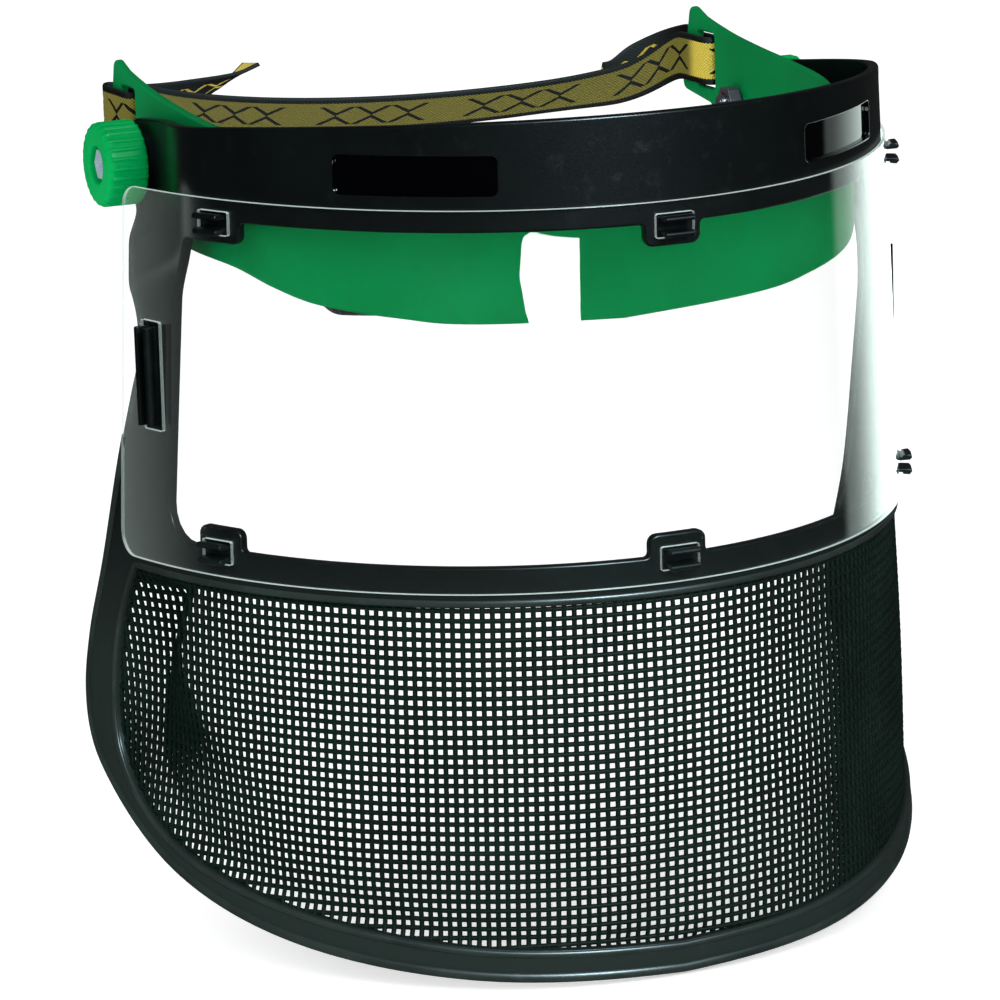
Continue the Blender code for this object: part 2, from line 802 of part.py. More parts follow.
def strap_hang(x, forward):
    """Height of the strap's middle line, and its lean; the back hangs low and a little skewed."""
    share = min(max((STRAP_START_FORWARD - forward) / STRAP_REACH_BACK, 0.0), 1.0)
    skew = STRAP_TILT * x / STRAP_X * smooth_step(2.0 * share)
    lean = math.radians(STRAP_TWIST) * smooth_step(1.3 * share)
    outside = math.hypot(x / STRAP_X, share and (STRAP_START_FORWARD - forward) / STRAP_REACH_BACK)
    lift = TAIL_LIFT * smooth_step((outside - 1.05) / 0.25)
    return STRAP_Z - STRAP_SAG * share**1.3 - skew + lift, lean


def build_strap(finish):
    """Ribbon through both ears and round the back, leaning over as it hangs."""
    left_half = strap_half(CURLED_TAIL)
    right_half = strap_half(LOOSE_TAIL)
    line = left_half + [(-x, forward) for x, forward in reversed(right_half[:-1])]
    curve = bpy.data.curves.new("elastic_strap", "CURVE")
    curve.dimensions = "2D"
    curve.fill_mode = "NONE"
    curve.extrude = STRAP_WIDTH / 2.0 * MM
    spline = curve.splines.new("POLY")
    spline.points.add(len(line) - 1)
    for point, (x, forward) in zip(spline.points, line):
        point.co = (x * MM, forward * MM, 0.0, 1.0)
    holder = bpy.data.objects.new("elastic_strap", curve)
    PARTS.objects.link(holder)
    graph = bpy.context.evaluated_depsgraph_get()
    mesh = bpy.data.meshes.new_from_object(holder.evaluated_get(graph))
    bpy.data.objects.remove(holder, do_unlink=True)
    bpy.data.curves.remove(curve)
    for vert in mesh.vertices:
        x, forward, up = vert.co / MM
        height, lean = strap_hang(x, forward)
        lean_forward = up * math.sin(lean)
        z = height + up * math.cos(lean)
        vert.co = Vector((x, SHELL_CENTRE_Y - forward - lean_forward, z)) * MM
    mesh.name = "elastic_strap"
    strap = mesh_object("elastic_strap", mesh)
    thick = strap.modifiers.new("thickness", "SOLIDIFY")
    thick.thickness = STRAP_THICKNESS * MM
    thick.offset = 0.0
    thick.use_even_offset = False
    mesh.shade_smooth()
    mesh.set_sharp_from_angle(angle=math.radians(40.0))
    mesh.materials.append(finish)
    return strap


# ---- pivot hardware -------------------------------------------------------------------------


def hexagon(flats):
    radius = flats / 2.0 / math.cos(math.pi / 6.0)
    return circle_outline(0.0, 0.0, radius, 6)


def ring(name, near, far, radius, hole, side, finish):
    """Flat washer on the pivot axis between two distances from the middle plane."""
    mesh = flat_plate(
        name, [circle_outline(0, 0, radius, 48), circle_outline(0, 0, hole, 24)], far - near
    )
    mesh.shade_smooth()
    mesh.set_sharp_from_angle(angle=math.radians(30.0))
    mesh.materials.append(finish)
    made = mesh_object(name, mesh)
    facing_sideways(made, side)
    made.location = (side * (near + far) / 2.0 * MM, 0.0, 0.0)
    return made


def build_nut(name, side, finish):
    near, far = NUT
    mesh = flat_plate(name, [hexagon(HEX_FLATS), circle_outline(0, 0, BOLT_RADIUS + GAP)], far - near)
    mesh.materials.append(finish)
    made = mesh_object(name, mesh)
    facing_sideways(made, side)
    made.location = (side * (near + far) / 2.0 * MM, 0.0, 0.0)
    return made


def build_bolt(name, side, finish):
    """Hexagon head and plain shank joined into one body."""
    near, far = HEAD
    head = mesh_object(name, flat_plate(name, [hexagon(HEX_FLATS)], far - near))
    length = near - BOLT_END + 1.0
    shank_mesh = flat_plate(f"{name}_shank", [circle_outline(0, 0, BOLT_RADIUS)], length)
    shank = mesh_object(f"{name}_shank", shank_mesh, CUTTERS)
    shank.location = (0.0, 0.0, (-(far - near) / 2.0 - length / 2.0 + 1.0) * MM)
    bpy.context.view_layer.update()
    apply_boolean(head, shank, "UNION")
    weld_slivers(head)
    head.data.shade_smooth()
    head.data.set_sharp_from_angle(angle=math.radians(35.0))
    head.data.materials.clear()
    head.data.materials.append(finish)
    facing_sideways(head, side)
    head.location = (side * (near + far) / 2.0 * MM, 0.0, 0.0)
    return head


def turned(name, profile, segments, collection=None):
    """Solid of revolution about local Z from a profile that runs down its outer side."""
    shape = bmesh.new()
    verts = [shape.verts.new((x * MM, 0.0, z * MM)) for x, z in profile]
    for first, second in zip(verts, verts[1:]):
        shape.edges.new((first, second))
    mesh = bpy.data.meshes.new(name)
    shape.to_mesh(mesh)
    shape.free()
    made = mesh_object(name, mesh, collection)
    screw = made.modifiers.new("turn", "SCREW")
    screw.steps = segments
    screw.render_steps = segments
    screw.use_merge_vertices = True
    screw.merge_threshold = 0.0001 * 0.1
    return made


def build_knob(name, side, finish):
    """Ribbed grip, rounded at its outer edge, with a round recess and a hexagon pocket."""
    near, far = KNOB
    depth = far - near
    count = KNOB_RIBS * 6
    outline = []
    for index in range(count):
        angle = 2.0 * math.pi * index / count
        wave = max(0.0, math.cos(angle * KNOB_RIBS))
        radius = KNOB_RADIUS - KNOB_RIB_DEPTH + KNOB_RIB_DEPTH * wave
        outline.append((radius * math.cos(angle), radius * math.sin(angle)))
    knob = mesh_object(name, flat_plate(name, [outline, circle_outline(0, 0, CLEAR_RADIUS)], depth))
    top = depth / 2.0
    edge = [
        (KNOB_RADIUS + 0.6 - KNOB_EDGE * (1.0 - math.cos(a)), top - KNOB_EDGE * (1.0 - math.sin(a)))
        for a in (math.radians(angle) for angle in (90.0, 60.0, 30.0, 0.0))
    ]
    profile = [(0.0, top), *edge, (KNOB_RADIUS + 0.6, -top - 1.0), (0.0, -top - 1.0)]
    blank = turned(f"{name}_blank", profile, 48, CUTTERS)
    apply_boolean(knob, blank, "INTERSECT")
    recess = turned(
        f"{name}_recess",
        [
            (0.0, top + 1.0),
            (KNOB_RECESS_RADIUS, top + 1.0),
            (KNOB_RECESS_RADIUS, top - KNOB_RECESS_DEPTH),
            (0.0, top - KNOB_RECESS_DEPTH),
        ],
        32,
        CUTTERS,
    )
    apply_boolean(knob, recess, "DIFFERENCE")
    pocket_depth = far - KNOB_RECESS_DEPTH - HEAD[0] + GAP
    pocket_mesh = flat_plate(f"{name}_pocket", [hexagon(HEX_FLATS + 2 * GAP)], pocket_depth + 1.0)
    pocket = mesh_object(f"{name}_pocket", pocket_mesh, CUTTERS)
    pocket.location = (0.0, 0.0, (top - KNOB_RECESS_DEPTH - pocket_depth / 2.0 + 0.5) * MM)
    bpy.context.view_layer.update()
    apply_boolean(knob, pocket, "DIFFERENCE")
    weld_slivers(knob)
    knob.data.shade_smooth()
    knob.data.set_sharp_from_angle(angle=math.radians(35.0))
    knob.data.materials.clear()
    knob.data.materials.append(finish)
    facing_sideways(knob, side)
    knob.location = (side * (near + far) / 2.0 * MM, 0.0, 0.0)
    return knob


def build_pivot(side_name, side, green, steel, nylon):
    build_knob(f"knob_{side_name}", side, green)
    build_bolt(f"pivot_bolt_{side_name}", side, steel)
    build_nut(f"pivot_nut_{side_name}", side, steel)
    near, far, radius = OUTER_WASHER
    ring(f"outer_washer_{side_name}", near, far, radius, CLEAR_RADIUS, side, steel)
    near, far, radius = FRICTION_WASHER
    ring(f"friction_washer_{side_name}", near, far, radius, CLEAR_RADIUS, side, nylon)


def build():
    black = make_material("black_plastic", (0.012, 0.018, 0.018), 0.38)
    screen = make_material("mesh_plastic", (0.02, 0.035, 0.028), 0.5)
    clear = make_material("clear_plastic", (0.85, 0.95, 0.92), 0.05, alpha=0.25)
    green = make_material("green_plastic", (0.003, 0.27, 0.075), 0.35)
    foam = make_material("foam", (0.03, 0.03, 0.032), 0.95)
    elastic = make_material("elastic_webbing", (0.18, 0.15, 0.03), 0.8)
    steel = make_material("zinc_steel", (0.6, 0.62, 0.63), 0.3, metallic=1.0)
    nylon = make_material("nylon", (0.7, 0.7, 0.68), 0.4)
    build_visor_frame(black)
    build_mesh_panel(screen)
    build_clear_lens(clear)
    build_headband(green)
    build_sweatband(foam)
    build_strap(elastic)
    build_pivot("left", 1.0, green, steel, nylon)
    build_pivot("right", -1.0, green, steel, nylon)
    for item in list(PARTS.objects) + list(CUTTERS.objects):
        item.location += Vector((0.0, PIVOT_Y, PIVOT_HEIGHT)) * MM


build()
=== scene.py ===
"""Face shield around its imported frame: moulded visor and headband, wire mesh, clear lens, strap."""
import math

import bmesh
import bpy
import numpy as np
from mathutils import Matrix, Vector, geometry

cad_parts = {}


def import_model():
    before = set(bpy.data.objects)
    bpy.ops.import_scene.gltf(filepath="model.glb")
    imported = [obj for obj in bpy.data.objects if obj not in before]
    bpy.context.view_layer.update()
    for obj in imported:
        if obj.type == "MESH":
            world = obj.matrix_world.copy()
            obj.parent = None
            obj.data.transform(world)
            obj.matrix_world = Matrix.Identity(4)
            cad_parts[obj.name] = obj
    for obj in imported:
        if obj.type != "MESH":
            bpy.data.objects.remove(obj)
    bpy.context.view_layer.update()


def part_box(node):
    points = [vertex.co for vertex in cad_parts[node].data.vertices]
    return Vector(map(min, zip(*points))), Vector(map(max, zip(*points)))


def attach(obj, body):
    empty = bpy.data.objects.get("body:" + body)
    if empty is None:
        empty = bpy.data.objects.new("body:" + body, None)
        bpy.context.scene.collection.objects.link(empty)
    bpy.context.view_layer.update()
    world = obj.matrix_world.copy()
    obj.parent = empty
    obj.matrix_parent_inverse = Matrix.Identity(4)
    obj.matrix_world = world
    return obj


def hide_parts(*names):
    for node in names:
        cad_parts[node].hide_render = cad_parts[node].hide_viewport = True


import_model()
MM = 0.001

LOW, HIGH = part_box("friction_washer_left")
PIVOT = np.array([0.0, (LOW.y + HIGH.y) / 2.0, (LOW.z + HIGH.z) / 2.0])

# ---- dimensions, in millimetres from the middle of the pivot axis ----------------------------

SHELL_HALF_WIDTH = 112.6
SHELL_DEPTH = 143.0
SHELL_CENTRE_Y = 6.0
# Below this height the shell widens, shortens and moves forward, per millimetre of drop.
FLARE_START_Z = 14.5
FLARE_WIDTH = 0.0002
FLARE_DEPTH = -0.00057
FLARE_FORWARD = 0.063
FRAME_THICKNESS = 3.0
ARM_LEAVES_AT = 132.0
ARM_X = 93.7
ARM_STRAIGHT_FROM = 18.0
ARM_END_RADIUS = 11.7
ARM_FULL_Z = -12.0
ARM_NONE_Z = -30.0
PIVOT_FORWARD = 6.0
EAR_X = 89.55
EAR_FROM = 12.0
BULGE_FROM = 45.0
BROW_HALF_WIDTH = 95.0
BROW_CENTRE = 20.0
BROW_DEPTH = 92.0
BROW_SQUARENESS = 3.0
BAND_THICKNESS = 2.5
CREASE_Z = -12.0
CREASE_LEAN = 0.2
LENS_THICKNESS = 1.0
LENS_TOP_ARC, LENS_TOP_Z = 165.5, -0.5
LENS_LOW_ARC, LENS_LOW_Z = 174.5, -102.5
LENS_CORNER = 6.5
MESH_TOP_Z = -106.4
MESH_PITCH = 2.66
WIRE_RADIUS = 0.69
WIRE_TUCK = 1.6
WEAVE = 0.12
FOLD_MARGIN = 22.0
FOLD_DEPTH = 6.5
STRAP_WIDTH = 14.0
STRAP_THICKNESS = 1.2
STRAP_X = 87.0
STRAP_START_FORWARD = -27.0
STRAP_REACH_BACK = 50.0
STRAP_Z = 9.5
STRAP_SAG = 16.0
STRAP_TILT = 5.5
STRAP_TWIST = 38.0
TAIL_LENGTH = 90.0
STRAP_GAP = 0.9
EAR_SLOT_REAR = -19.0
EAR_SLOT_FRONT = -8.5
SLOT_HEIGHT = 16.0
CLEAR_RADIUS = 2.9
HEX_FLATS = 8.0
THREAD_PITCH = 0.8
KNOB_RIBS = 26
KNOB_RADIUS = 11.7
RIB_DEPTH = 0.55


def unit(ways):
    return ways / np.linalg.norm(ways, axis=-1, keepdims=True)


def full_turn(count):
    return np.linspace(0.0, 2.0 * math.pi, count, endpoint=False)


def smooth_step(value):
    value = np.clip(value, 0.0, 1.0)
    return value * value * (3.0 - 2.0 * value)


# ---- paths seen from above, and places on them -----------------------------------------------


class Path:
    """Half of a symmetric path as (x, forward), looked up by arc length from the front."""

    def __init__(self, points):
        self.points = np.array(points, float)
        steps = np.hypot(*np.diff(self.points, axis=0).T)
        self.arc = np.concatenate([[0.0], np.cumsum(steps)])

    def at(self, arc):
        return np.stack([np.interp(arc, self.arc, self.points[:, k]) for k in (0, 1)], axis=-1)


def shell_points():
    angles = np.linspace(0.0, math.radians(125.0), 900)
    return np.stack([SHELL_HALF_WIDTH * np.sin(angles), SHELL_DEPTH * np.cos(angles)], axis=-1)


SHELL_PATH = Path(shell_points())


def arm_points():
    front = [SHELL_PATH.at(arc) for arc in np.linspace(0.0, ARM_LEAVES_AT, 400)]
    start = front[-1]
    start_way = unit(start - front[-2])
    end = np.array([ARM_X, ARM_STRAIGHT_FROM])
    end_way = np.array([0.0, -1.0])
    pull = np.linalg.norm(end - start)
    turn = [
        start * (2 * t**3 - 3 * t**2 + 1)
        + start_way * pull * (t**3 - 2 * t**2 + t)
        + end * (3 * t**2 - 2 * t**3)
        + end_way * pull * (t**3 - t**2)
        for t in np.linspace(0.0, 1.0, 200)[1:]
    ]
    return front + turn + [np.array([ARM_X, -60.0])]


ARM_PATH = Path(arm_points())
ARM_TURN_END = ARM_PATH.arc[-2]
PIVOT_ARC = ARM_TURN_END + ARM_STRAIGHT_FROM - PIVOT_FORWARD


def headband_points():
    points = []
    for share in np.linspace(0.0, 1.0, 900):
        angle = share * math.pi / 2.0
        x = BROW_HALF_WIDTH * math.sin(angle) ** (2.0 / BROW_SQUARENESS)
        forward = BROW_CENTRE + BROW_DEPTH * math.cos(angle) ** (2.0 / BROW_SQUARENESS)
        if forward < BULGE_FROM:
            x = EAR_X + (x - EAR_X) * smooth_step((forward - EAR_FROM) / (BULGE_FROM - EAR_FROM))
        points.append((x, forward))
    for forward in np.linspace(BROW_CENTRE, EAR_FROM, 12)[1:]:
        bulge = smooth_step((forward - EAR_FROM) / (BULGE_FROM - EAR_FROM))
        points.append((EAR_X + (BROW_HALF_WIDTH - EAR_X) * bulge, forward))
    return points + [(EAR_X, -60.0)]


HEADBAND_PATH = Path(headband_points())
EAR_START_ARC = HEADBAND_PATH.arc[-2]


def ear_arc(forward):
    return EAR_START_ARC + EAR_FROM - forward


def shell_place(arc, z):
    drop = np.maximum(FLARE_START_Z - z, 0.0)
    place = SHELL_PATH.at(arc)
    x = place[..., 0] * (1.0 + FLARE_WIDTH * drop)
    forward = place[..., 1] * (1.0 + FLARE_DEPTH * drop) + FLARE_FORWARD * drop
    return np.stack([x, forward], axis=-1)


def frame_place(arc, z):
    shell = shell_place(arc, z)
    flare = shell - SHELL_PATH.at(arc)
    fade = 1.0 - smooth_step((arc - ARM_LEAVES_AT) / (ARM_TURN_END - ARM_LEAVES_AT))
    arm = ARM_PATH.at(arc) + flare * fade[..., None]
    share = smooth_step((z - ARM_NONE_Z) / (ARM_FULL_Z - ARM_NONE_Z))[..., None]
    return shell * (1.0 - share) + arm * share


def path_way(path, arc):
    return unit(path.at(arc + 0.5) - path.at(np.maximum(arc - 0.5, 0.0)))


def headband_place(arc, z):
    place = HEADBAND_PATH.at(arc)
    way = path_way(HEADBAND_PATH, arc)
    lean = CREASE_LEAN * np.maximum(z - CREASE_Z, 0.0)
    lean = lean * smooth_step((place[..., 1] - EAR_FROM) / (BULGE_FROM - EAR_FROM))
    return place + np.stack([way[..., 1], -way[..., 0]], axis=-1) * lean[..., None]


def world(points):
    """World metres from millimetres (x, y, z) counted from the pivot axis."""
    return np.asarray(points, float) * MM + PIVOT


def wrap(place_at, flat, offset):
    """World points and outward normals of flat (arc, z) places, moved out along the normal."""
    flat = np.asarray(flat, float).reshape(-1, 2)
    arc, z = np.abs(flat[:, 0]), flat[:, 1]
    side = np.where(flat[:, 0] < 0.0, -1.0, 1.0)
    here = place_at(arc, z)
    way = unit(place_at(arc + 0.5, z) - place_at(np.maximum(arc - 0.5, 0.0), z))
    way[arc < 0.3] = (1.0, 0.0)
    x = (here[:, 0] - way[:, 1] * offset) * side
    forward = here[:, 1] + way[:, 0] * offset
    points = np.stack([x, SHELL_CENTRE_Y - forward, z], axis=-1)
    normals = np.stack([-way[:, 1] * side, -way[:, 0], np.zeros(len(z))], axis=-1)
    return world(points), normals


def on(place_at):
    return lambda flat, offset: wrap(place_at, flat, offset)


# ---- outlines --------------------------------------------------------------------------------


def rounded(corners, steps=8):
    points = []
    count = len(corners)
    for index, (x, y, radius) in enumerate(corners):
        if radius <= 0.0:
            points.append((x, y))
            continue
        here = Vector((x, y))
        before = (Vector(corners[index - 1][:2]) - here).normalized()
        after = (Vector(corners[(index + 1) % count][:2]) - here).normalized()
        half_angle = before.angle(after) / 2.0
        reach = radius / math.tan(half_angle)
        centre = here + (before + after).normalized() * (radius / math.sin(half_angle))
        start = here + before * reach - centre
        turn = start.angle_signed(here + after * reach - centre)
        for step in range(steps + 1):
            spot = centre + Matrix.Rotation(-turn * step / steps, 2) @ start
            points.append((spot.x, spot.y))
    return points


def box_outline(centre_x, centre_y, width, height, radius, steps=6):
    x, y = width / 2.0, height / 2.0
    corners = [(-x, -y), (x, -y), (x, y), (-x, y)]
    return rounded([(centre_x + cx, centre_y + cy, radius) for cx, cy in corners], steps)


def circle_outline(centre_x, centre_y, radius, count=48):
    return [(centre_x + radius * math.cos(a), centre_y + radius * math.sin(a)) for a in full_turn(count)]


def smooth_through(knots, steps=8):
    """Catmull-Rom curve through the knots, open at both ends."""
    knots = [np.array(knot, float) for knot in knots]
    padded = [2 * knots[0] - knots[1], *knots, 2 * knots[-1] - knots[-2]]
    points = []
    for index in range(1, len(padded) - 2):
        p0, p1, p2, p3 = padded[index - 1 : index + 3]
        for t in np.arange(steps) / steps:
            spot = 0.5 * (
                2 * p1
                + (p2 - p0) * t
                + (2 * p0 - 5 * p1 + 4 * p2 - p3) * t**2
                + (3 * p1 - p0 - 3 * p2 + p3) * t**3
            )
            points.append(tuple(spot))
    points.append(tuple(knots[-1]))
    return points


def mirrored(half):
    other = [(-x, y) for x, y in reversed(half) if x > 1e-9]
    return half + other


def turned_to(loop, counter_clockwise):
    """The loop as an array that runs the asked way round."""
    loop = np.array(loop, float)
    after = np.roll(loop, -1, axis=0)
    twice_area = np.sum(loop[:, 0] * after[:, 1] - after[:, 0] * loop[:, 1])
    return loop if (twice_area > 0.0) == counter_clockwise else loop[::-1].copy()


def refined(loop, length):
    """Closed loop with no repeated points and no side longer than length."""
    points = []
    for here, after in zip(loop, np.roll(loop, -1, axis=0)):
        span = np.linalg.norm(after - here)
        if span < 1e-4:
            continue
        count = max(1, math.ceil(span / length))
        points += [here + (after - here) * k / count for k in range(count)]
    return np.array(points)


def leftward(loop):
    """Direction to the left of each corner of a loop, scaled so that an offset stays parallel."""
    before = unit(loop - np.roll(loop, 1, axis=0))
    after = unit(np.roll(loop, -1, axis=0) - loop)
    left = np.stack([-before[:, 1] - after[:, 1], before[:, 0] + after[:, 0]], axis=-1)
    left /= np.maximum(np.linalg.norm(left, axis=1, keepdims=True), 1e-9)
    lean = np.sum(left * np.stack([-after[:, 1], after[:, 0]], axis=-1), axis=1)
    return left / np.maximum(lean, 0.6)[:, None]


# ---- building solids from flat outlines ------------------------------------------------------


def linked(name, data):
    """New object in the scene."""
    made = bpy.data.objects.new(name, data)
    bpy.context.scene.collection.objects.link(made)
    return made


def mesh_object(name, verts, faces, smooth=True):
    mesh = bpy.data.meshes.new(name)
    mesh.from_pydata(np.asarray(verts).tolist(), [], faces)
    if smooth:
        mesh.shade_smooth()
    return linked(name, mesh)


def filled(loops, step):
    """Triangles that fill the first loop around the others, with a grid of points inside."""
    points = [Vector(p) for loop in loops for p in loop]
    outlines, at = [], 0
    for index, loop in enumerate(loops):
        ring = list(range(at, at + len(loop)))
        outlines.append(ring if index == 0 else ring[::-1])
        at += len(loop)
    edge = np.concatenate(loops)
    low, high = loops[0].min(0), loops[0].max(0)
    columns = np.arange(math.floor(low[0] / step), math.ceil(high[0] / step) + 1) * step
    rows = np.arange(math.floor(low[1] / step), math.ceil(high[1] / step) + 1) * step
    grid = np.stack(np.meshgrid(columns, rows), axis=-1).reshape(-1, 2)
    keep = np.ones(len(grid), bool)
    for start in range(0, len(grid), 2000):
        part = grid[start : start + 2000]
        near = np.linalg.norm(part[:, None] - edge[None], axis=2).min(1)
        keep[start : start + 2000] = near > step * 0.55
    points += [Vector(p) for p in grid[keep]]
    cut = geometry.delaunay_2d_cdt(points, [], outlines, 1, 1e-5)
    places, triangles, owners = cut[0], cut[2], cut[5]
    kept = [tri for tri, owner in zip(triangles, owners) if list(owner) == [0]]
    return np.array([p[:] for p in places]), kept


def edge_profile(half, edge, steps):
    """(inset, level, outward share) rings that round the edge from the front to the back."""
    edge = min(edge, half)
    rings = []
    for k in range(steps + 1):
        t = math.pi / 2.0 * k / steps
        rings.append((edge * (1.0 - math.sin(t)), half - edge * (1.0 - math.cos(t)), t))
    back = [(inset, -level, math.pi - t) for inset, level, t in reversed(rings)]
    return rings + back


def add_rings(shape, want, loop, rings, place, offset, slot=0):
    """Strips of quads along a loop, through rings of (inset, level, normal angle).

    Want is a vertex layer that keeps the shading normal each new point asks for.
    """
    left = leftward(loop)
    rows = []
    for inset, level, angle in rings:
        points, normals = place(loop + left * inset, offset + level)
        out, _ = place(loop + left * (inset - 0.05), offset + level)
        outward = out - points
        outward /= np.maximum(np.linalg.norm(outward, axis=1, keepdims=True), 1e-12)
        facing = normals * math.cos(angle) + outward * math.sin(angle)
        row = []
        for point, normal in zip(points, facing):
            vert = shape.verts.new(point)
            vert[want] = normal
            row.append(vert)
        rows.append(row)
    count = len(loop)
    for first, second in zip(rows, rows[1:]):
        for i in range(count):
            j = (i + 1) % count
            face = shape.faces.new([first[i], second[i], second[j], first[j]])
            face.material_index = slot
            face.smooth = True


def add_fill(shape, want, loops, place, offset, facing, step, slot=0):
    flat, triangles = filled(loops, step)
    points, normals = place(flat, offset)
    verts = []
    for point, normal in zip(points, normals):
        vert = shape.verts.new(point)
        vert[want] = Vector(normal) * facing
        verts.append(vert)
    for tri in triangles:
        corners = [verts[i] for i in tri]
        face = shape.faces.new(corners if facing > 0 else corners[::-1])
        face.material_index = slot
        face.smooth = True
    for vert in verts:
        if not vert.link_faces:
            shape.verts.remove(vert)


def sheet(name, place, outline, thickness, offset=0.0, holes=(), pockets=(), edge=0.4, step=3.0,
          edge_slot=0, edge_steps=3, side_length=2.0):
    """Closed solid from flat outlines with rounded edges, placed by a wrapping function.

    Each pocket is (outline, depth, floor slot): a blind hollow in the front.
    """
    half = thickness / 2.0
    outer = refined(turned_to(outline, True), side_length)
    inner = [refined(turned_to(hole, False), side_length) for hole in holes]
    blind = [(refined(turned_to(p, False), side_length), depth, slot) for p, depth, slot in pockets]
    shape = bmesh.new()
    want = shape.verts.layers.float_vector.new("wanted_normal")
    rings = edge_profile(half, edge, edge_steps)
    add_rings(shape, want, outer, rings, place, offset, edge_slot)
    for loop in inner:
        add_rings(shape, want, loop, rings, place, offset, edge_slot)
    inset = rings[0][0]
    front = [loop + leftward(loop) * inset for loop in [outer, *inner]]
    back = list(front)
    lip = min(0.3, edge)
    fillet = 0.25
    for loop, depth, slot in blind:
        down = [(lip * (1.0 - math.sin(t)), half - lip * (1.0 - math.cos(t)), t)
                for t in (0.0, math.pi / 4.0, math.pi / 2.0)]
        foot = ((0.0, 1.0, math.pi / 2.0), (0.28, 0.28, math.pi / 4.0), (1.0, 0.0, 0.0))
        down += [(-fillet * run, half - depth + fillet * rise, t) for run, rise, t in foot]
        add_rings(shape, want, loop, down, place, offset, slot)
        front.append(loop + leftward(loop) * lip)
        floor = loop - leftward(loop) * fillet
        add_fill(shape, want, [turned_to(floor, True)], place, offset + half - depth, 1.0, step, slot)
    add_fill(shape, want, front, place, offset + half, 1.0, step)
    add_fill(shape, want, back, place, offset - half, -1.0, step)
    bmesh.ops.remove_doubles(shape, verts=shape.verts, dist=2e-6)
    bmesh.ops.recalc_face_normals(shape, faces=shape.faces)
    mesh = bpy.data.meshes.new(name)
    shape.to_mesh(mesh)
    shape.free()
    wanted = np.zeros(len(mesh.vertices) * 3, np.float32)
    mesh.attributes["wanted_normal"].data.foreach_get("vector", wanted)
    mesh.normals_split_custom_set_from_vertices(wanted.reshape(-1, 3))
    mesh.attributes.remove(mesh.attributes["wanted_normal"])
    return linked(name, mesh)


def planar(spot, out_way, up_way):
    """Places flat (out, up) points in the plane at a spot, with level along the third way."""
    third = np.cross(out_way, up_way)

    def place(flat, level):
        flat = np.asarray(flat, float).reshape(-1, 2)
        points = flat[:, :1] * out_way + flat[:, 1:] * up_way + level * third
        return spot + points * MM, np.repeat(third[None], len(flat), axis=0)

    return place


def grid_object(name, rows, closed_round=True, closed_long=False):
    """Skin over rows of world points; rows are joined in order."""
    rows = np.asarray(rows)
    count, around = rows.shape[:2]
    faces = []
    for i in range(count if closed_long else count - 1):
        for j in range(around if closed_round else around - 1):
            a, b = i * around + j, i * around + (j + 1) % around
            c, d = ((i + 1) % count) * around + (j + 1) % around, ((i + 1) % count) * around + j
            faces.append((a, b, c, d))
    return mesh_object(name, rows.reshape(-1, 3), faces)


def finished(item, body, materials, nodes=()):
    """Gives a piece its materials, its body and the CAD nodes it stands for."""
    for material in materials:
        item.data.materials.append(material)
    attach(item, body)
    if nodes:
        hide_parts(*nodes)
    return item


# ---- materials -------------------------------------------------------------------------------


class NodeTree:
    """Small helper that adds nodes to a tree."""

    def __init__(self, tree):
        self.tree = tree

    def add(self, kind, values=None, **settings):
        """New node, with the values or sources of its inputs."""
        node = self.tree.nodes.new("ShaderNode" + kind)
        for key, value in settings.items():
            setattr(node, key, value)
        for name, value in (values or {}).items():
            self.feed(node, name, value)
        return node

    def feed(self, node, name, value):
        socket = node.inputs[name]
        if isinstance(value, bpy.types.NodeSocket):
            self.tree.links.new(value, socket)
        else:
            socket.default_value = value

    def blend(self, share, first, second):
        """Shader that goes from the first to the second."""
        return self.add("MixShader", {0: share, 1: first, 2: second}).outputs[0]

    def math(self, operation, first, second=0.5, third=0.0):
        values = {0: first, 1: second, 2: third}
        return self.add("Math", values, operation=operation).outputs[0]


class Surface(NodeTree):
    """A node material with a Principled shader, on the object's own coordinates."""

    def __init__(self, name):
        self.material = bpy.data.materials.new(name)
        self.material.use_nodes = True
        super().__init__(self.material.node_tree)
        self.shader = self.tree.nodes["Principled BSDF"]
        self.place = self.add("TexCoord").outputs["Object"]

    def noise(self, scale, detail=3.0, roughness=0.5):
        values = {"Vector": self.place, "Scale": scale, "Detail": detail, "Roughness": roughness}
        return self.add("TexNoise", values).outputs["Fac"]

    def stretched(self, texture, scale):
        """Texture node on the place, scaled by a different amount along each axis."""
        where = self.add("Mapping", {"Vector": self.place, "Scale": scale}).outputs["Vector"]
        return self.add(texture, {"Vector": where, "Scale": 1.0})

    def ramp(self, value, low, high, from_low=0.0, from_high=1.0):
        values = {"Value": value, "From Min": from_low, "From Max": from_high,
                  "To Min": low, "To Max": high}
        return self.add("MapRange", values).outputs["Result"]

    def mix(self, share, first, second):
        return self.add("Mix", {0: share, 6: first, 7: second}, data_type="RGBA").outputs[2]

    def attribute(self, name):
        return self.add("Attribute", attribute_name=name).outputs["Fac"]

    def level(self, vector):
        """Third component of a vector."""
        return self.add("SeparateXYZ", {0: vector}).outputs["Z"]

    def bump(self, height, strength, distance=0.0003):
        values = {"Height": height, "Strength": strength, "Distance": distance}
        self.set(Normal=self.add("Bump", values).outputs["Normal"])

    def set(self, **values):
        for name, value in values.items():
            self.feed(self.shader, name.replace("_", " "), value)

    def only(self, shader):
        """Makes this shader the whole material."""
        self.tree.nodes.remove(self.shader)
        self.feed(self.tree.nodes["Material Output"], "Surface", shader)
        return self.material


def rgb(*values):
    """Linear colour from 0-255 display values."""
    linear = [v / 255.0 for v in values]
    linear = [v / 12.92 if v <= 0.04045 else ((v + 0.055) / 1.055) ** 2.4 for v in linear]
    return (*linear, 1.0)


CLOUD_SCALE = 38.0
# Heights, in metres, over which the painted light of the low colour fades out going up
PAINTED_LIGHT_HEIGHTS = (0.075, 0.13)


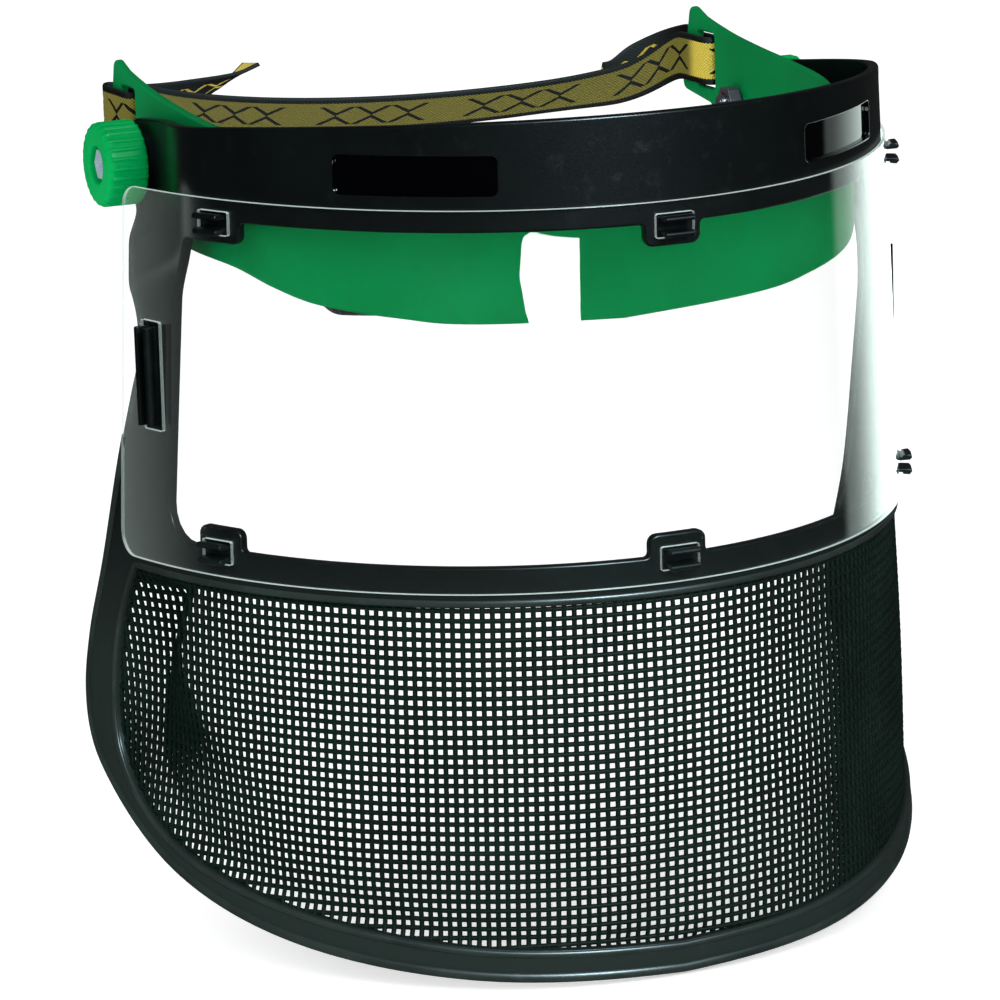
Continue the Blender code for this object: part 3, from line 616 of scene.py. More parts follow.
def moulded(name, colour, dark, roughness, grain=1600.0, shine=0.5, scuffs=0.05, bump=0.12,
             low=None, coat=0.0):
    """Moulded plastic: faint mottling, fine grain in the skin and rubbed patches.

    Low is a lighter, greyer colour that the skin takes on towards the bottom: painted light, standing in
    for the light that the lower rim catches.
    """
    s = Surface(name)
    cloud = s.noise(CLOUD_SCALE, 4.0)
    fine = s.noise(grain, 2.0)
    rubbed = s.ramp(s.noise(160.0, 6.0, 0.7), 0.0, 1.0, 0.56, 0.72)
    tint = s.mix(s.ramp(cloud, 0.0, 1.0, 0.35, 0.65), colour, dark)
    if low:
        # Painted light: towards the bottom the skin turns to the lighter low colour
        tint = s.mix(s.ramp(s.level(s.place), 1.0, 0.0, *PAINTED_LIGHT_HEIGHTS), tint, low)
    s.set(Base_Color=s.mix(s.math("MULTIPLY", rubbed, scuffs), tint, rgb(150, 158, 156)))
    skin = s.ramp(fine, roughness - 0.05, roughness + 0.05)
    s.set(Roughness=s.math("ADD", skin, s.math("MULTIPLY", rubbed, 0.08)), Specular_IOR_Level=shine,
          Coat_Weight=coat, Coat_Roughness=0.0)
    s.bump(s.math("ADD", fine, s.math("MULTIPLY", cloud, 0.6)), bump, 0.00015)
    return s.material


# The low colour of the black plastic is painted light on the lower rim
BLACK = moulded("black_plastic", rgb(6, 12, 13), rgb(4, 8, 9), 0.32, shine=0.2, scuffs=0.008,
                low=rgb(33, 44, 41))
# Lighter copy of the black plastic for the beads: a painted sheen on the rim and around the screen's
# opening
PAINTED_SHEEN_RIM = moulded("black_rim_painted_sheen", rgb(40, 52, 48), rgb(28, 38, 35), 0.36, shine=0.35, scuffs=0.03)
# Near-black pocket floor, darker than the band: painted shade in the recess. The clear coat is its real
# gloss
PAINTED_SHADE_RECESS = moulded("black_recess_painted_shade", rgb(1, 1, 3), rgb(0, 0, 1), 0.22, shine=0.03, scuffs=0.0,
                      bump=0.0, coat=0.7)
GREEN = moulded("green_plastic", rgb(0, 132, 70), rgb(0, 122, 62), 0.42, shine=0.04, scuffs=0.003)
KNOB_GREEN = moulded("green_knob", rgb(0, 168, 86), rgb(0, 154, 76), 0.36, shine=0.03, scuffs=0.004)
WIRE = moulded("coated_wire", rgb(14, 32, 25), rgb(9, 24, 18), 0.6, grain=2600.0, shine=0.05, scuffs=0.01)
NYLON = moulded("black_nylon", rgb(24, 25, 26), rgb(15, 16, 17), 0.45, shine=0.4, scuffs=0.03)


def zinc(name, light, dark, metal):
    """Plated steel with fine turning lines along X."""
    s = Surface(name)
    cloud = s.noise(420.0, 4.0)
    lines = s.stretched("TexNoise", (300.0, 2600.0, 2600.0)).outputs["Fac"]
    s.set(Base_Color=s.mix(cloud, light, dark), Metallic=metal, Roughness=s.ramp(lines, 0.16, 0.34))
    s.bump(lines, 0.15, 0.00005)
    return s.material


CLEAR_INDEX = 1.5


def clear_sheet(name, haze, tint):
    """Thin clear sheet: see-through, with a reflection that grows at a slant and a faint haze.

    The index is turned over on back faces, so that they never reflect totally.
    """
    s = Surface(name)
    through = s.add("BsdfTransparent", {"Color": tint}).outputs[0]
    mirror = s.add("BsdfGlossy", {"Color": (1.0, 1.0, 1.0, 1.0), "Roughness": 0.0}).outputs[0]
    veil = s.add("BsdfDiffuse", {"Color": rgb(216, 232, 230)}).outputs[0]
    back = s.add("NewGeometry").outputs["Backfacing"]
    slant = s.add("Fresnel", {"IOR": s.ramp(back, CLEAR_INDEX, 1.0 / CLEAR_INDEX)}).outputs["Fac"]
    scratch = s.ramp(s.noise(900.0, 2.0), 0.0, 1.0, 0.68, 0.8)
    dust = s.math("MULTIPLY_ADD", scratch, 0.002, haze)
    return s.only(s.blend(slant, s.blend(dust, through, veil), mirror))


def clear_edge_painted_glint():
    """Cut edge of the clear sheet, painted as a glint: it glows, bright where it faces up or down and
    faint where it stands upright.
    """
    s = Surface("clear_edge_painted_glint")
    grain = s.noise(1400.0, 2.0)
    # How far the edge faces up or down sets the strength of the painted glint
    flat = s.math("ABSOLUTE", s.level(s.add("NewGeometry").outputs["Normal"]))
    s.set(Base_Color=s.mix(grain, rgb(196, 212, 208), rgb(150, 170, 165)), Roughness=0.25,
          Alpha=s.math("MULTIPLY", s.ramp(grain, 0.75, 1.0), s.ramp(flat, 0.34, 0.95, 0.2, 0.8)))
    # The emission is a painted glint, not a lamp
    s.set(Emission_Color=rgb(225, 240, 236), Emission_Strength=0.35)
    return s.material


# Thread pitches and the line pattern of the elastic, in millimetres
WEFT_PITCH, WARP_PITCH = 1.15, 0.9
CROSS_PITCH, CROSS_REACH, BORDER_FROM = 11.5, 3.7, 5.2


def webbing():
    """Woven elastic: one face gold with dark crosses in threes and dark edges, the other dark."""
    s = Surface("woven_elastic")
    along, over, face = (s.attribute(name) for name in ("along", "over", "face"))
    spread = s.math("ABSOLUTE", over)
    weft = s.math("SINE", s.math("MULTIPLY", along, 2.0 * math.pi / WEFT_PITCH))
    warp = s.math("SINE", s.math("MULTIPLY", over, 2.0 * math.pi / WARP_PITCH))
    thread = s.math("MULTIPLY_ADD", s.math("MULTIPLY", weft, warp), 0.5, 0.5)
    fuzz = s.noise(2400.0, 3.0)
    cycle = s.math("MODULO", along, 4.0 * CROSS_PITCH)
    zig = s.math("ABSOLUTE", s.math("SUBTRACT", s.math("MODULO", along, CROSS_PITCH), CROSS_PITCH / 2.0))
    chevron = s.math("COMPARE", s.math("SUBTRACT", spread, s.math("MULTIPLY", zig, 0.62)), 0.55, 0.62)
    group = s.math("LESS_THAN", cycle, 3.0 * CROSS_PITCH)
    motif = s.math("MULTIPLY", s.math("MULTIPLY", chevron, group),
                   s.math("LESS_THAN", spread, CROSS_REACH))
    border = s.math("GREATER_THAN", s.math("ADD", spread, s.math("MULTIPLY", weft, 0.12)), BORDER_FROM)
    dark_part = s.math("MAXIMUM", motif, border)
    # Painted light and shade: the duller gold is the strap's shaded main run, and the brighter gold is
    # the lit free ends, picked by the tail share
    dull = s.mix(thread, rgb(84, 78, 16), rgb(138, 130, 44))
    painted_lit_gold = s.mix(thread, rgb(190, 162, 30), rgb(244, 226, 96))
    gold = s.mix(s.attribute("tail"), dull, painted_lit_gold)
    black = s.mix(thread, rgb(3, 4, 4), rgb(14, 16, 15))
    front = s.mix(dark_part, gold, black)
    back_gold = s.math("MULTIPLY", motif, s.math("SUBTRACT", 1.0, border))
    back = s.mix(back_gold, black, gold)
    tint = s.mix(s.math("GREATER_THAN", face, 0.0), front, back)
    s.set(Base_Color=s.mix(s.ramp(fuzz, 0.0, 0.05), tint, rgb(96, 92, 58)), Roughness=0.78,
          Specular_IOR_Level=0.25)
    s.bump(s.math("ADD", thread, s.math("MULTIPLY", fuzz, 0.7)), 0.6, 0.0002)
    return s.material


def fabric():
    """Knitted pad cover over foam."""
    s = Surface("knit_cover")
    loops = s.stretched("TexVoronoi", (1100.0, 1100.0, 800.0)).outputs["Distance"]
    fuzz = s.noise(1900.0, 4.0)
    wear = s.noise(60.0, 4.0)
    s.set(Base_Color=s.mix(s.ramp(loops, 0.0, 1.0, 0.1, 0.8),
                           s.mix(wear, rgb(38, 39, 42), rgb(52, 53, 56)), rgb(16, 16, 18)),
          Roughness=0.92, Specular_IOR_Level=0.2, Sheen_Weight=0.3)
    s.bump(s.math("SUBTRACT", fuzz, loops), 0.8, 0.0004)
    return s.material


WEBBING = webbing()
FABRIC = fabric()
ZINC = zinc("zinc_plate", rgb(205, 222, 240), rgb(140, 160, 178), 0.3)
DULL_ZINC = zinc("dull_zinc", rgb(92, 84, 98), rgb(66, 60, 70), 0.4)
CLEAR = clear_sheet("clear_sheet", 0.0006, (0.995, 1.0, 0.998, 1.0))
PAINTED_GLINT_EDGE = clear_edge_painted_glint()


# ---- visor frame -----------------------------------------------------------------------------

FRAME_EDGE = [
    (PIVOT_ARC + 5.0, -13.5), (190.0, -19.0), (170.0, -26.0), (163.5, -36.0), (164.0, -48.0),
    (168.0, -58.0), (175.5, -75.0), (188.5, -106.0), (201.5, -129.0), (208.0, -146.0),
    (205.0, -159.5), (190.5, -170.5), (154.5, -188.5), (110.0, -201.0), (56.0, -208.6),
    (0.0, -211.0),
]
OPENING_EDGE = [
    (169.0, MESH_TOP_Z), (176.0, -117.0), (182.5, -133.0), (185.0, -150.0), (181.0, -162.0),
    (167.0, -174.0), (145.0, -183.5), (104.0, -192.5), (54.0, -199.5), (0.0, -202.0),
]
WINDOW_TOP_Z, WINDOW_LOW_Z = -6.6, -95.4
WINDOW_HALF_TOP, WINDOW_HALF_LOW = 142.5, 152.0
PEG_ARC_TOP, PEG_ARC_LOW = 128.0, 130.5
PEG_TOP_Z, PEG_LOW_Z = -7.0, -95.8
SIDE_PEG_ARC, SIDE_PEG_Z, SIDE_PEG_LENGTH = 155.0, -51.0, 27.0
SIDES = (-1.0, 1.0)
PEG_SPOTS = [(0.0, PEG_TOP_Z), (0.0, PEG_LOW_Z)]
PEG_SPOTS += [(side * PEG_ARC_TOP, PEG_TOP_Z) for side in SIDES]
PEG_SPOTS += [(side * PEG_ARC_LOW, PEG_LOW_Z) for side in SIDES]
POCKET_ARC, POCKET_Z, POCKET_WIDTH, POCKET_HEIGHT, POCKET_DEPTH = 67.65, 8.3, 43.7, 10.0, 1.2
BAND_TOP_END, BAND_TOP_Z, BAND_TOP_FALL = 160.0, 22.8, 7.6
TAB_HEIGHT = 6.0
RIM_TOP_Z = -70.0
PEG_WIDTH = 8.5


def band_top(arc):
    return BAND_TOP_Z - BAND_TOP_FALL * (arc / BAND_TOP_END) ** 2


def frame_outline():
    top = [(arc, band_top(arc)) for arc in np.linspace(0.0, BAND_TOP_END, 60)]
    angles = np.radians(np.arange(90, -46, -6))
    end = [(PIVOT_ARC + ARM_END_RADIUS * math.cos(a), ARM_END_RADIUS * math.sin(a)) for a in angles]
    return mirrored(top + end + smooth_through(FRAME_EDGE))


def window_outline():
    slope = (WINDOW_HALF_LOW - WINDOW_HALF_TOP) / (WINDOW_TOP_Z - WINDOW_LOW_Z)
    top_tab, low_tab = WINDOW_TOP_Z - TAB_HEIGHT, WINDOW_LOW_Z + TAB_HEIGHT
    half, r, hollow = 8.0, 2.5, 1.2
    right = [
        (half, top_tab, r), (half, WINDOW_TOP_Z, hollow), (PEG_ARC_TOP - half, WINDOW_TOP_Z, hollow),
        (PEG_ARC_TOP - half, top_tab, r), (WINDOW_HALF_TOP + slope * TAB_HEIGHT, top_tab, 3.6),
        (WINDOW_HALF_LOW, WINDOW_LOW_Z, 9.0), (PEG_ARC_LOW + half, WINDOW_LOW_Z, hollow),
        (PEG_ARC_LOW + half, low_tab, r), (PEG_ARC_LOW - half, low_tab, r),
        (PEG_ARC_LOW - half, WINDOW_LOW_Z, hollow), (half, WINDOW_LOW_Z, hollow), (half, low_tab, r),
    ]
    return rounded(right + [(-x, y, radius) for x, y, radius in reversed(right)], 5)


def opening_outline():
    return mirrored([(0.0, MESH_TOP_Z)] + smooth_through(OPENING_EDGE))


def build_frame():
    holes = [window_outline(), opening_outline()]
    holes += [circle_outline(side * PIVOT_ARC, 0.0, CLEAR_RADIUS, 32) for side in SIDES]
    # Slot 1, the pocket floors, takes the painted-shade black
    pockets = [(box_outline(side * POCKET_ARC, POCKET_Z, POCKET_WIDTH, POCKET_HEIGHT, 1.5),
                POCKET_DEPTH, 1) for side in SIDES]
    shell = sheet("visor_shell", on(frame_place), frame_outline(), FRAME_THICKNESS, 0.0, holes,
                  pockets, edge=0.7, step=3.0, edge_steps=4)
    finished(shell, "visor", [BLACK, PAINTED_SHADE_RECESS], ["visor_frame"])


def bead(name, line, radius, height, offset, closed, sides=12):
    """Rounded moulding that runs along a flat line and stands proud of the frame."""
    line = np.array(line, float)
    if closed:
        way = unit(np.roll(line, -1, axis=0) - np.roll(line, 1, axis=0))
    else:
        way = unit(np.gradient(line, axis=0))
    left = np.stack([-way[:, 1], way[:, 0]], axis=-1)
    rows = []
    for a in full_turn(sides):
        flat = line + left * radius * math.cos(a)
        rows.append(wrap(frame_place, flat, offset + height * math.sin(a))[0])
    rows = np.stack(rows, axis=1)
    made = grid_object(name, rows, True, closed)
    if not closed:
        cap_ends(made, sides)
    # The beads take the lighter black, a painted sheen
    finished(made, "visor", [PAINTED_SHEEN_RIM])


def cap_ends(item, sides):
    """Closes the first and the last row of a skin."""
    shape = bmesh.new()
    shape.from_mesh(item.data)
    shape.verts.ensure_lookup_table()
    count = len(shape.verts)
    shape.faces.new([shape.verts[i] for i in range(sides)])
    shape.faces.new([shape.verts[i] for i in range(count - 1, count - sides - 1, -1)])
    bmesh.ops.recalc_face_normals(shape, faces=shape.faces)
    shape.to_mesh(item.data)
    shape.free()


def build_beads():
    """Raised edges: along the rim below RIM_TOP_Z, and all round the screen's opening."""
    outer = turned_to(refined(np.array(frame_outline()), 3.0), True)
    low = [p for p in outer + leftward(outer) * 1.5 if p[1] < RIM_TOP_Z]
    start = max(range(len(low)), key=lambda i: np.linalg.norm(low[i] - low[i - 1]))
    bead("rim_bead", low[start:] + low[:start], 1.45, 1.1, 1.15, False)
    opening = refined(turned_to(opening_outline(), True), 3.0)
    bead("mesh_bead", opening - leftward(opening) * 1.3, 1.0, 0.7, 1.3, True)


def peg_profile():
    """Hooked prong of a snap peg as (out, up)."""
    inner, low = 0.5, 1.1
    return [
        (inner, low - 0.1), (5.8, low + 0.25), (6.4, low + 0.9), (5.6, low + 1.8),
        (3.8, low + 1.6), (3.6, low + 1.1), (inner, low + 1.1),
    ]


def build_pegs():
    up = np.array([0.0, 0.0, 1.0])
    spots = [(arc, z, PEG_WIDTH, False) for arc, z in PEG_SPOTS]
    spots += [(side * SIDE_PEG_ARC, SIDE_PEG_Z, SIDE_PEG_LENGTH, True) for side in SIDES]
    for index, (arc, z, width, upright) in enumerate(spots):
        spot, way = (v[0] for v in wrap(shell_place, [(arc, z)], 0.0))
        across = np.cross(up, way)
        for prong, sign in enumerate((1.0, -1.0)):
            part_way = across if upright else up
            outline = [(out, sign * height) for out, height in peg_profile()]
            made = sheet(f"peg_{index}_{prong}", planar(spot, way, part_way), outline, width,
                         edge=0.22, step=1.5, edge_steps=2, side_length=1.2)
            finished(made, "visor", [BLACK])


# ---- wire mesh -------------------------------------------------------------------------------


def relief(arc, z, reach):
    """How far the wire sheet bows out of the shell; reach is the distance from its left-hand edge.

    Beside that edge (the one at negative arc) the sheet is pushed in, which leaves a fold that is
    sharp at the top and dies out lower down.
    """
    drop = smooth_step((MESH_TOP_Z - z) / 70.0)
    fold = 8.0 + 60.0 * drop * drop
    ramp = np.clip(reach / FOLD_MARGIN, 0.0, 1.0) * smooth_step((FOLD_MARGIN + fold - reach) / fold)
    dent = -(FOLD_DEPTH - 4.5 * drop) * ramp * smooth_step((MESH_TOP_Z - z) / 5.0)
    bow = 0.35 * np.sin(arc / 23.0 + z / 31.0) + 0.2 * np.sin(arc / 11.0 - z / 17.0)
    return dent + bow


def opening_limits(loop, value, axis):
    """Lowest and highest crossing of a closed loop with a level or upright line."""
    after = np.roll(loop, -1, axis=0)
    a, b = loop[:, axis] - value, after[:, axis] - value
    hit = (a * b < 0.0) | (a == 0.0)
    share = a[hit] / (a[hit] - b[hit] + 1e-12)
    other = loop[hit, 1 - axis] + (after[hit, 1 - axis] - loop[hit, 1 - axis]) * share
    return (other.min(), other.max()) if len(other) else None


def tube_rows(centres, normals, sides=6):
    """Cross-section rings round a line of points, given the way out of the sheet at each."""
    way = unit(np.gradient(centres, axis=0))
    across = unit(np.cross(way, normals))
    out = np.cross(across, way)
    cosines, sines = (f(full_turn(sides))[None, :, None] for f in (np.cos, np.sin))
    return centres[:, None] + (across[:, None] * cosines + out[:, None] * sines) * WIRE_RADIUS * MM


def build_wires():
    """Woven wires both ways, each a closed tube that passes over and under the others."""
    loop = turned_to(opening_outline(), True)
    loop = loop - leftward(loop) * WIRE_TUCK
    levels_down = np.linspace(loop[:, 1].min() + 0.5, loop[:, 1].max() - 0.5, 80)
    left_edge = [opening_limits(loop, level, 1)[0] for level in levels_down]
    verts, faces, total = [], [], 0

    def add_wire(flat, sign):
        nonlocal total
        reach = flat[:, 0] - np.interp(flat[:, 1], levels_down, left_edge)
        offset = sign * WEAVE + relief(flat[:, 0], flat[:, 1], reach)
        rings = tube_rows(*wrap(shell_place, flat, offset))
        count, sides = rings.shape[:2]
        verts.append(rings.reshape(-1, 3))
        for i in range(count - 1):
            for j in range(sides):
                k = (j + 1) % sides
                a, b = total + i * sides, total + (i + 1) * sides
                faces.append((a + j, a + k, b + k, b + j))
        faces.append(tuple(total + j for j in reversed(range(sides))))
        faces.append(tuple(total + (count - 1) * sides + j for j in range(sides)))
        total += count * sides

    columns = (np.arange(-80, 81) + 0.5) * MESH_PITCH
    rows = MESH_TOP_Z - (np.arange(-4, 60) + 0.35) * MESH_PITCH
    for lines, crossed, axis, first in ((columns, rows[::-1], 0, 1.0), (rows, columns, 1, -1.0)):
        for index, line in enumerate(lines):
            limits = opening_limits(loop, line, axis)
            if limits is None or limits[1] - limits[0] < 2.0:
                continue
            inside = crossed[(crossed > limits[0]) & (crossed < limits[1])]
            along = np.concatenate([[limits[0]], inside, [limits[1]]])
            sign = np.where((np.round(along / MESH_PITCH) + index) % 2 == 0, first, -first)
            flat = [np.full(len(along), line), along]
            add_wire(np.stack(flat if axis == 0 else flat[::-1], axis=-1), sign)
    made = mesh_object("wire_mesh", np.concatenate(verts), faces)
    finished(made, "visor", [WIRE], ["mesh_panel"])


# ---- clear lens ------------------------------------------------------------------------------


def build_lens():
    corners = [(LENS_TOP_ARC, LENS_TOP_Z), (LENS_LOW_ARC, LENS_LOW_Z)]
    corners += [(-arc, z) for arc, z in reversed(corners)]
    outline = rounded([(arc, z, LENS_CORNER) for arc, z in corners], 10)
    holes = [box_outline(arc, z, 10.4, 6.2, 0.5, 3) for arc, z in PEG_SPOTS]
    holes += [box_outline(side * SIDE_PEG_ARC, SIDE_PEG_Z, 8.0, 29.5, 0.5, 3) for side in SIDES]
    offset = FRAME_THICKNESS / 2.0 + 0.3 + LENS_THICKNESS / 2.0
    lens = sheet("clear_visor", on(shell_place), outline, LENS_THICKNESS, offset, holes,
                 edge=0.18, step=4.0, edge_slot=1, edge_steps=2)
    finished(lens, "visor", [CLEAR, PAINTED_GLINT_EDGE], ["clear_lens"])


# ---- headband and pad ------------------------------------------------------------------------

E = EAR_START_ARC
BAND_LOW_EDGE = [
    (0.0, -37.0), (44.0, -34.5), (62.0, -32.0), (84.0, -28.5), (97.0, -25.0), (112.0, -21.0),
    (132.0, -19.5), (150.0, -18.5), (E + 3.0, -16.0), (E + 14.0, -8.5), (E + 24.0, -3.0),
]
BAND_HIGH_EDGE = [
    (E + 28.0, 22.0), (E + 20.0, 20.4), (E + 6.0, 18.2), (E - 18.0, 15.8), (E - 42.0, 14.2),
    (60.0, 10.5), (0.0, 8.0),
]


def build_headband():
    low, high = smooth_through(BAND_LOW_EDGE), smooth_through(BAND_HIGH_EDGE)
    corner = rounded([(*low[-1], 0.0), (E + 42.0, -0.5, 2.5), (E + 36.0, 25.0, 2.5), (*high[0], 0.0)])
    outline = mirrored(list(reversed(low + corner[1:-1] + high)))
    holes = []
    for side in SIDES:
        holes.append(circle_outline(side * ear_arc(PIVOT_FORWARD), 0.0, CLEAR_RADIUS, 32))
        middle = side * ear_arc((EAR_SLOT_REAR + EAR_SLOT_FRONT) / 2.0)
        holes.append(box_outline(middle, STRAP_Z, EAR_SLOT_FRONT - EAR_SLOT_REAR, SLOT_HEIGHT, 1.0))
    band = sheet("headband_shell", on(headband_place), outline, BAND_THICKNESS, 0.0, holes,
                 edge=0.9, step=3.0, edge_steps=4)
    finished(band, "headband", [GREEN], ["headband"])


def build_pad():
    """Quilted sweat pad: a crowned cushion that draws in at its rim and along its channels."""
    half_length, low, high, corner = 86.5, -32.0, 3.0, 8.0
    middle = (low + high) / 2.0
    half_height = (high - low) / 2.0
    half_thick, channel_pitch = 2.35, 17.6
    inward = BAND_THICKNESS / 2.0 + 0.4 + 2.5
    across, along = 44, 190
    turn = full_turn(across)
    v = np.cos(turn)
    rows = []
    for u in np.linspace(-1.0, 1.0, along):
        arc = u * half_length
        past = max(abs(arc) - (half_length - corner), 0.0)
        height = half_height - corner + math.sqrt(max(corner**2 - past**2, 0.0))
        rim = max(1.0 - abs(u) ** 26, 0.0) ** 0.5
        puff = 0.82 + 0.18 * abs(math.cos(math.pi * arc / channel_pitch)) ** 0.6
        wrinkle = 0.09 * np.sin(arc * 1.7 + 3.0 * v) * np.sin(arc * 0.53 - 5.0 * v)
        thick = (half_thick * puff + wrinkle) * np.abs(np.sin(turn)) ** 0.55 * rim
        flat = np.stack([np.full(across, arc), middle + v * height], axis=-1)
        rows.append(wrap(headband_place, flat, np.sign(np.sin(turn)) * thick - inward)[0])
    made = grid_object("sweat_pad", rows)
    cap_ends(made, across)
    finished(made, "headband", [FABRIC], ["sweatband"])


# ---- elastic strap ---------------------------------------------------------------------------

# Knots of the two free ends as (sideways, forward, height, lean in degrees), from the tip inwards
LOOSE_TAIL = [
    (21.5, -94.9, 8.5, 84.0), (31.0, -90.5, 5.0, 68.0), (50.0, -78.5, 3.5, 44.0),
    (66.0, -66.0, 4.5, 34.0), (78.5, -52.0, 6.5, 20.0), (87.5, -38.0, 9.0, 6.0),
]
CURLED_TAIL = [
    (75.0, -57.5, -1.5, 20.0), (80.5, -62.5, -2.0, 16.0), (88.0, -64.5, 1.5, 12.0),
    (95.0, -58.5, 5.5, 8.0), (97.5, -47.0, 8.5, 4.0), (94.5, -36.5, 9.5, 0.0),
]


def strap_hang(x, forward):
    """Height and lean of the strap behind the ears, where it sags towards the back."""
    share = np.clip((STRAP_START_FORWARD - forward) / STRAP_REACH_BACK, 0.0, 1.0)
    skew = STRAP_TILT * x / STRAP_X * smooth_step(2.0 * share)
    return STRAP_Z - STRAP_SAG * share**1.3 - skew, STRAP_TWIST * smooth_step(1.3 * share)


def strap_half(tail, side):
    """Half of the strap as (x, forward, height, lean), from its free end to the back's middle."""
    ear_out = EAR_X + BAND_THICKNESS / 2.0 + STRAP_GAP
    radius, turn_x = (ear_out - STRAP_X) / 2.0, (ear_out + STRAP_X) / 2.0
    bight = EAR_SLOT_FRONT - 1.0 - radius
    flat = [(turn_x + radius * math.cos(a), bight + radius * math.sin(a))
            for a in np.radians(np.arange(12, 181, 12))]
    flat += [(STRAP_X * math.cos(a), STRAP_START_FORWARD - STRAP_REACH_BACK * math.sin(a))
             for a in np.radians(np.arange(0, 91, 3))]
    level = [(ear_out, EAR_SLOT_REAR - 10.6, STRAP_Z, 0.0), (ear_out, EAR_SLOT_REAR, STRAP_Z, 0.0),
             (ear_out, bight - 2.0, STRAP_Z, 0.0)]
    points = smooth_through(tail + level, 8)
    points += [(x, forward, *strap_hang(side * x, forward)) for x, forward in flat]
    return [(side * x, forward, height, lean) for x, forward, height, lean in points]


def build_strap():
    """The ribbon, with what the weave needs: place along and over it, its face, and near its ends, where
    the gold is painted as lit.
    """
    line = np.array(strap_half(CURLED_TAIL, 1.0) + strap_half(LOOSE_TAIL, -1.0)[-2::-1], float)
    length = np.concatenate([[0.0], np.cumsum(np.linalg.norm(np.diff(line[:, :3], axis=0), axis=1))])
    stations = np.arange(0.0, length[-1], 1.1)
    line = np.stack([np.interp(stations, length, line[:, k]) for k in range(4)], axis=-1)
    for _ in range(3):
        line[1:-1] = 0.25 * line[:-2] + 0.5 * line[1:-1] + 0.25 * line[2:]
    lean = np.radians(line[:, 3])
    middle = np.stack([line[:, 0], SHELL_CENTRE_Y - line[:, 1], line[:, 2]], axis=-1)
    up = np.stack([np.zeros(len(line)), -np.sin(lean), np.cos(lean)], axis=-1)
    out = unit(np.cross(np.gradient(middle, axis=0), up))
    half, thick = STRAP_WIDTH / 2.0, STRAP_THICKNESS / 2.0
    flat = list(np.linspace(-half + 0.5, half - 0.5, 15))
    near_edge = half - 0.12
    ring = [(v, thick) for v in flat]
    ring += [(near_edge, thick * 0.7), (half, 0.0), (near_edge, -thick * 0.7)]
    ring += [(-v, -level) for v, level in ring]
    rows, values = [], {"along": [], "over": [], "face": [], "tail": []}
    for i, station in enumerate(stations):
        # Share of the painted lit gold, full along the free ends and falling to the painted shade of the
        # main run
        to_end = min(station, stations[-1] - station)
        painted_lit_gold = float(smooth_step((TAIL_LENGTH - to_end) / 6.0 + 0.5))
        row = []
        for v, level in ring:
            ripple = 0.06 * math.sin(station * 0.9 + v * 0.6) + 0.05 * math.sin(v * 2.7)
            edge = 1.0 - (abs(v) / half) ** 4
            side = level - math.copysign(abs(ripple) * 1.2, level) * edge if level else 0.0
            row.append(middle[i] + up[i] * v + out[i] * side)
            for name, value in zip(values, (station, v, np.sign(level), painted_lit_gold)):
                values[name].append(value)
        rows.append(world(row))
    made = grid_object("strap_ribbon", rows)
    for name, numbers in values.items():
        layer = made.data.attributes.new(name, "FLOAT", "POINT")
        layer.data.foreach_set("value", np.array(numbers, np.float32))
    cap_ends(made, len(ring))
    finished(made, "headband", [WEBBING], ["elastic_strap"])


# ---- pivot hardware --------------------------------------------------------------------------


def hexagon(flats):
    radius = flats / 2.0 / math.cos(math.pi / 6.0)
    return circle_outline(0.0, 0.0, radius, 6)


def cross_outline(reach, half_width, radius):
    arm = [(reach, -half_width), (reach, half_width), (half_width, half_width)]
    corners = []
    for _ in range(4):
        corners += [(x, y, radius) for x, y in arm]
        arm = [(-y, x) for x, y in arm]
    return rounded(corners, 2)


def pivot_plane(side, distance):
    """Flat places facing away from the head, at a distance along the pivot axis."""
    spot = world([side * distance, 0.0, 0.0])
    return planar(spot, np.array([0.0, side, 0.0]), np.array([0.0, 0.0, 1.0]))


def rib_radius(angle, depth):
    return depth * (np.maximum(0.0, np.cos(angle * KNOB_RIBS)) ** 0.8 - 1.0)


def axis_ring(x, radius, angles):
    return np.stack([np.full(len(angles), x), radius * np.cos(angles), radius * np.sin(angles)], axis=-1)


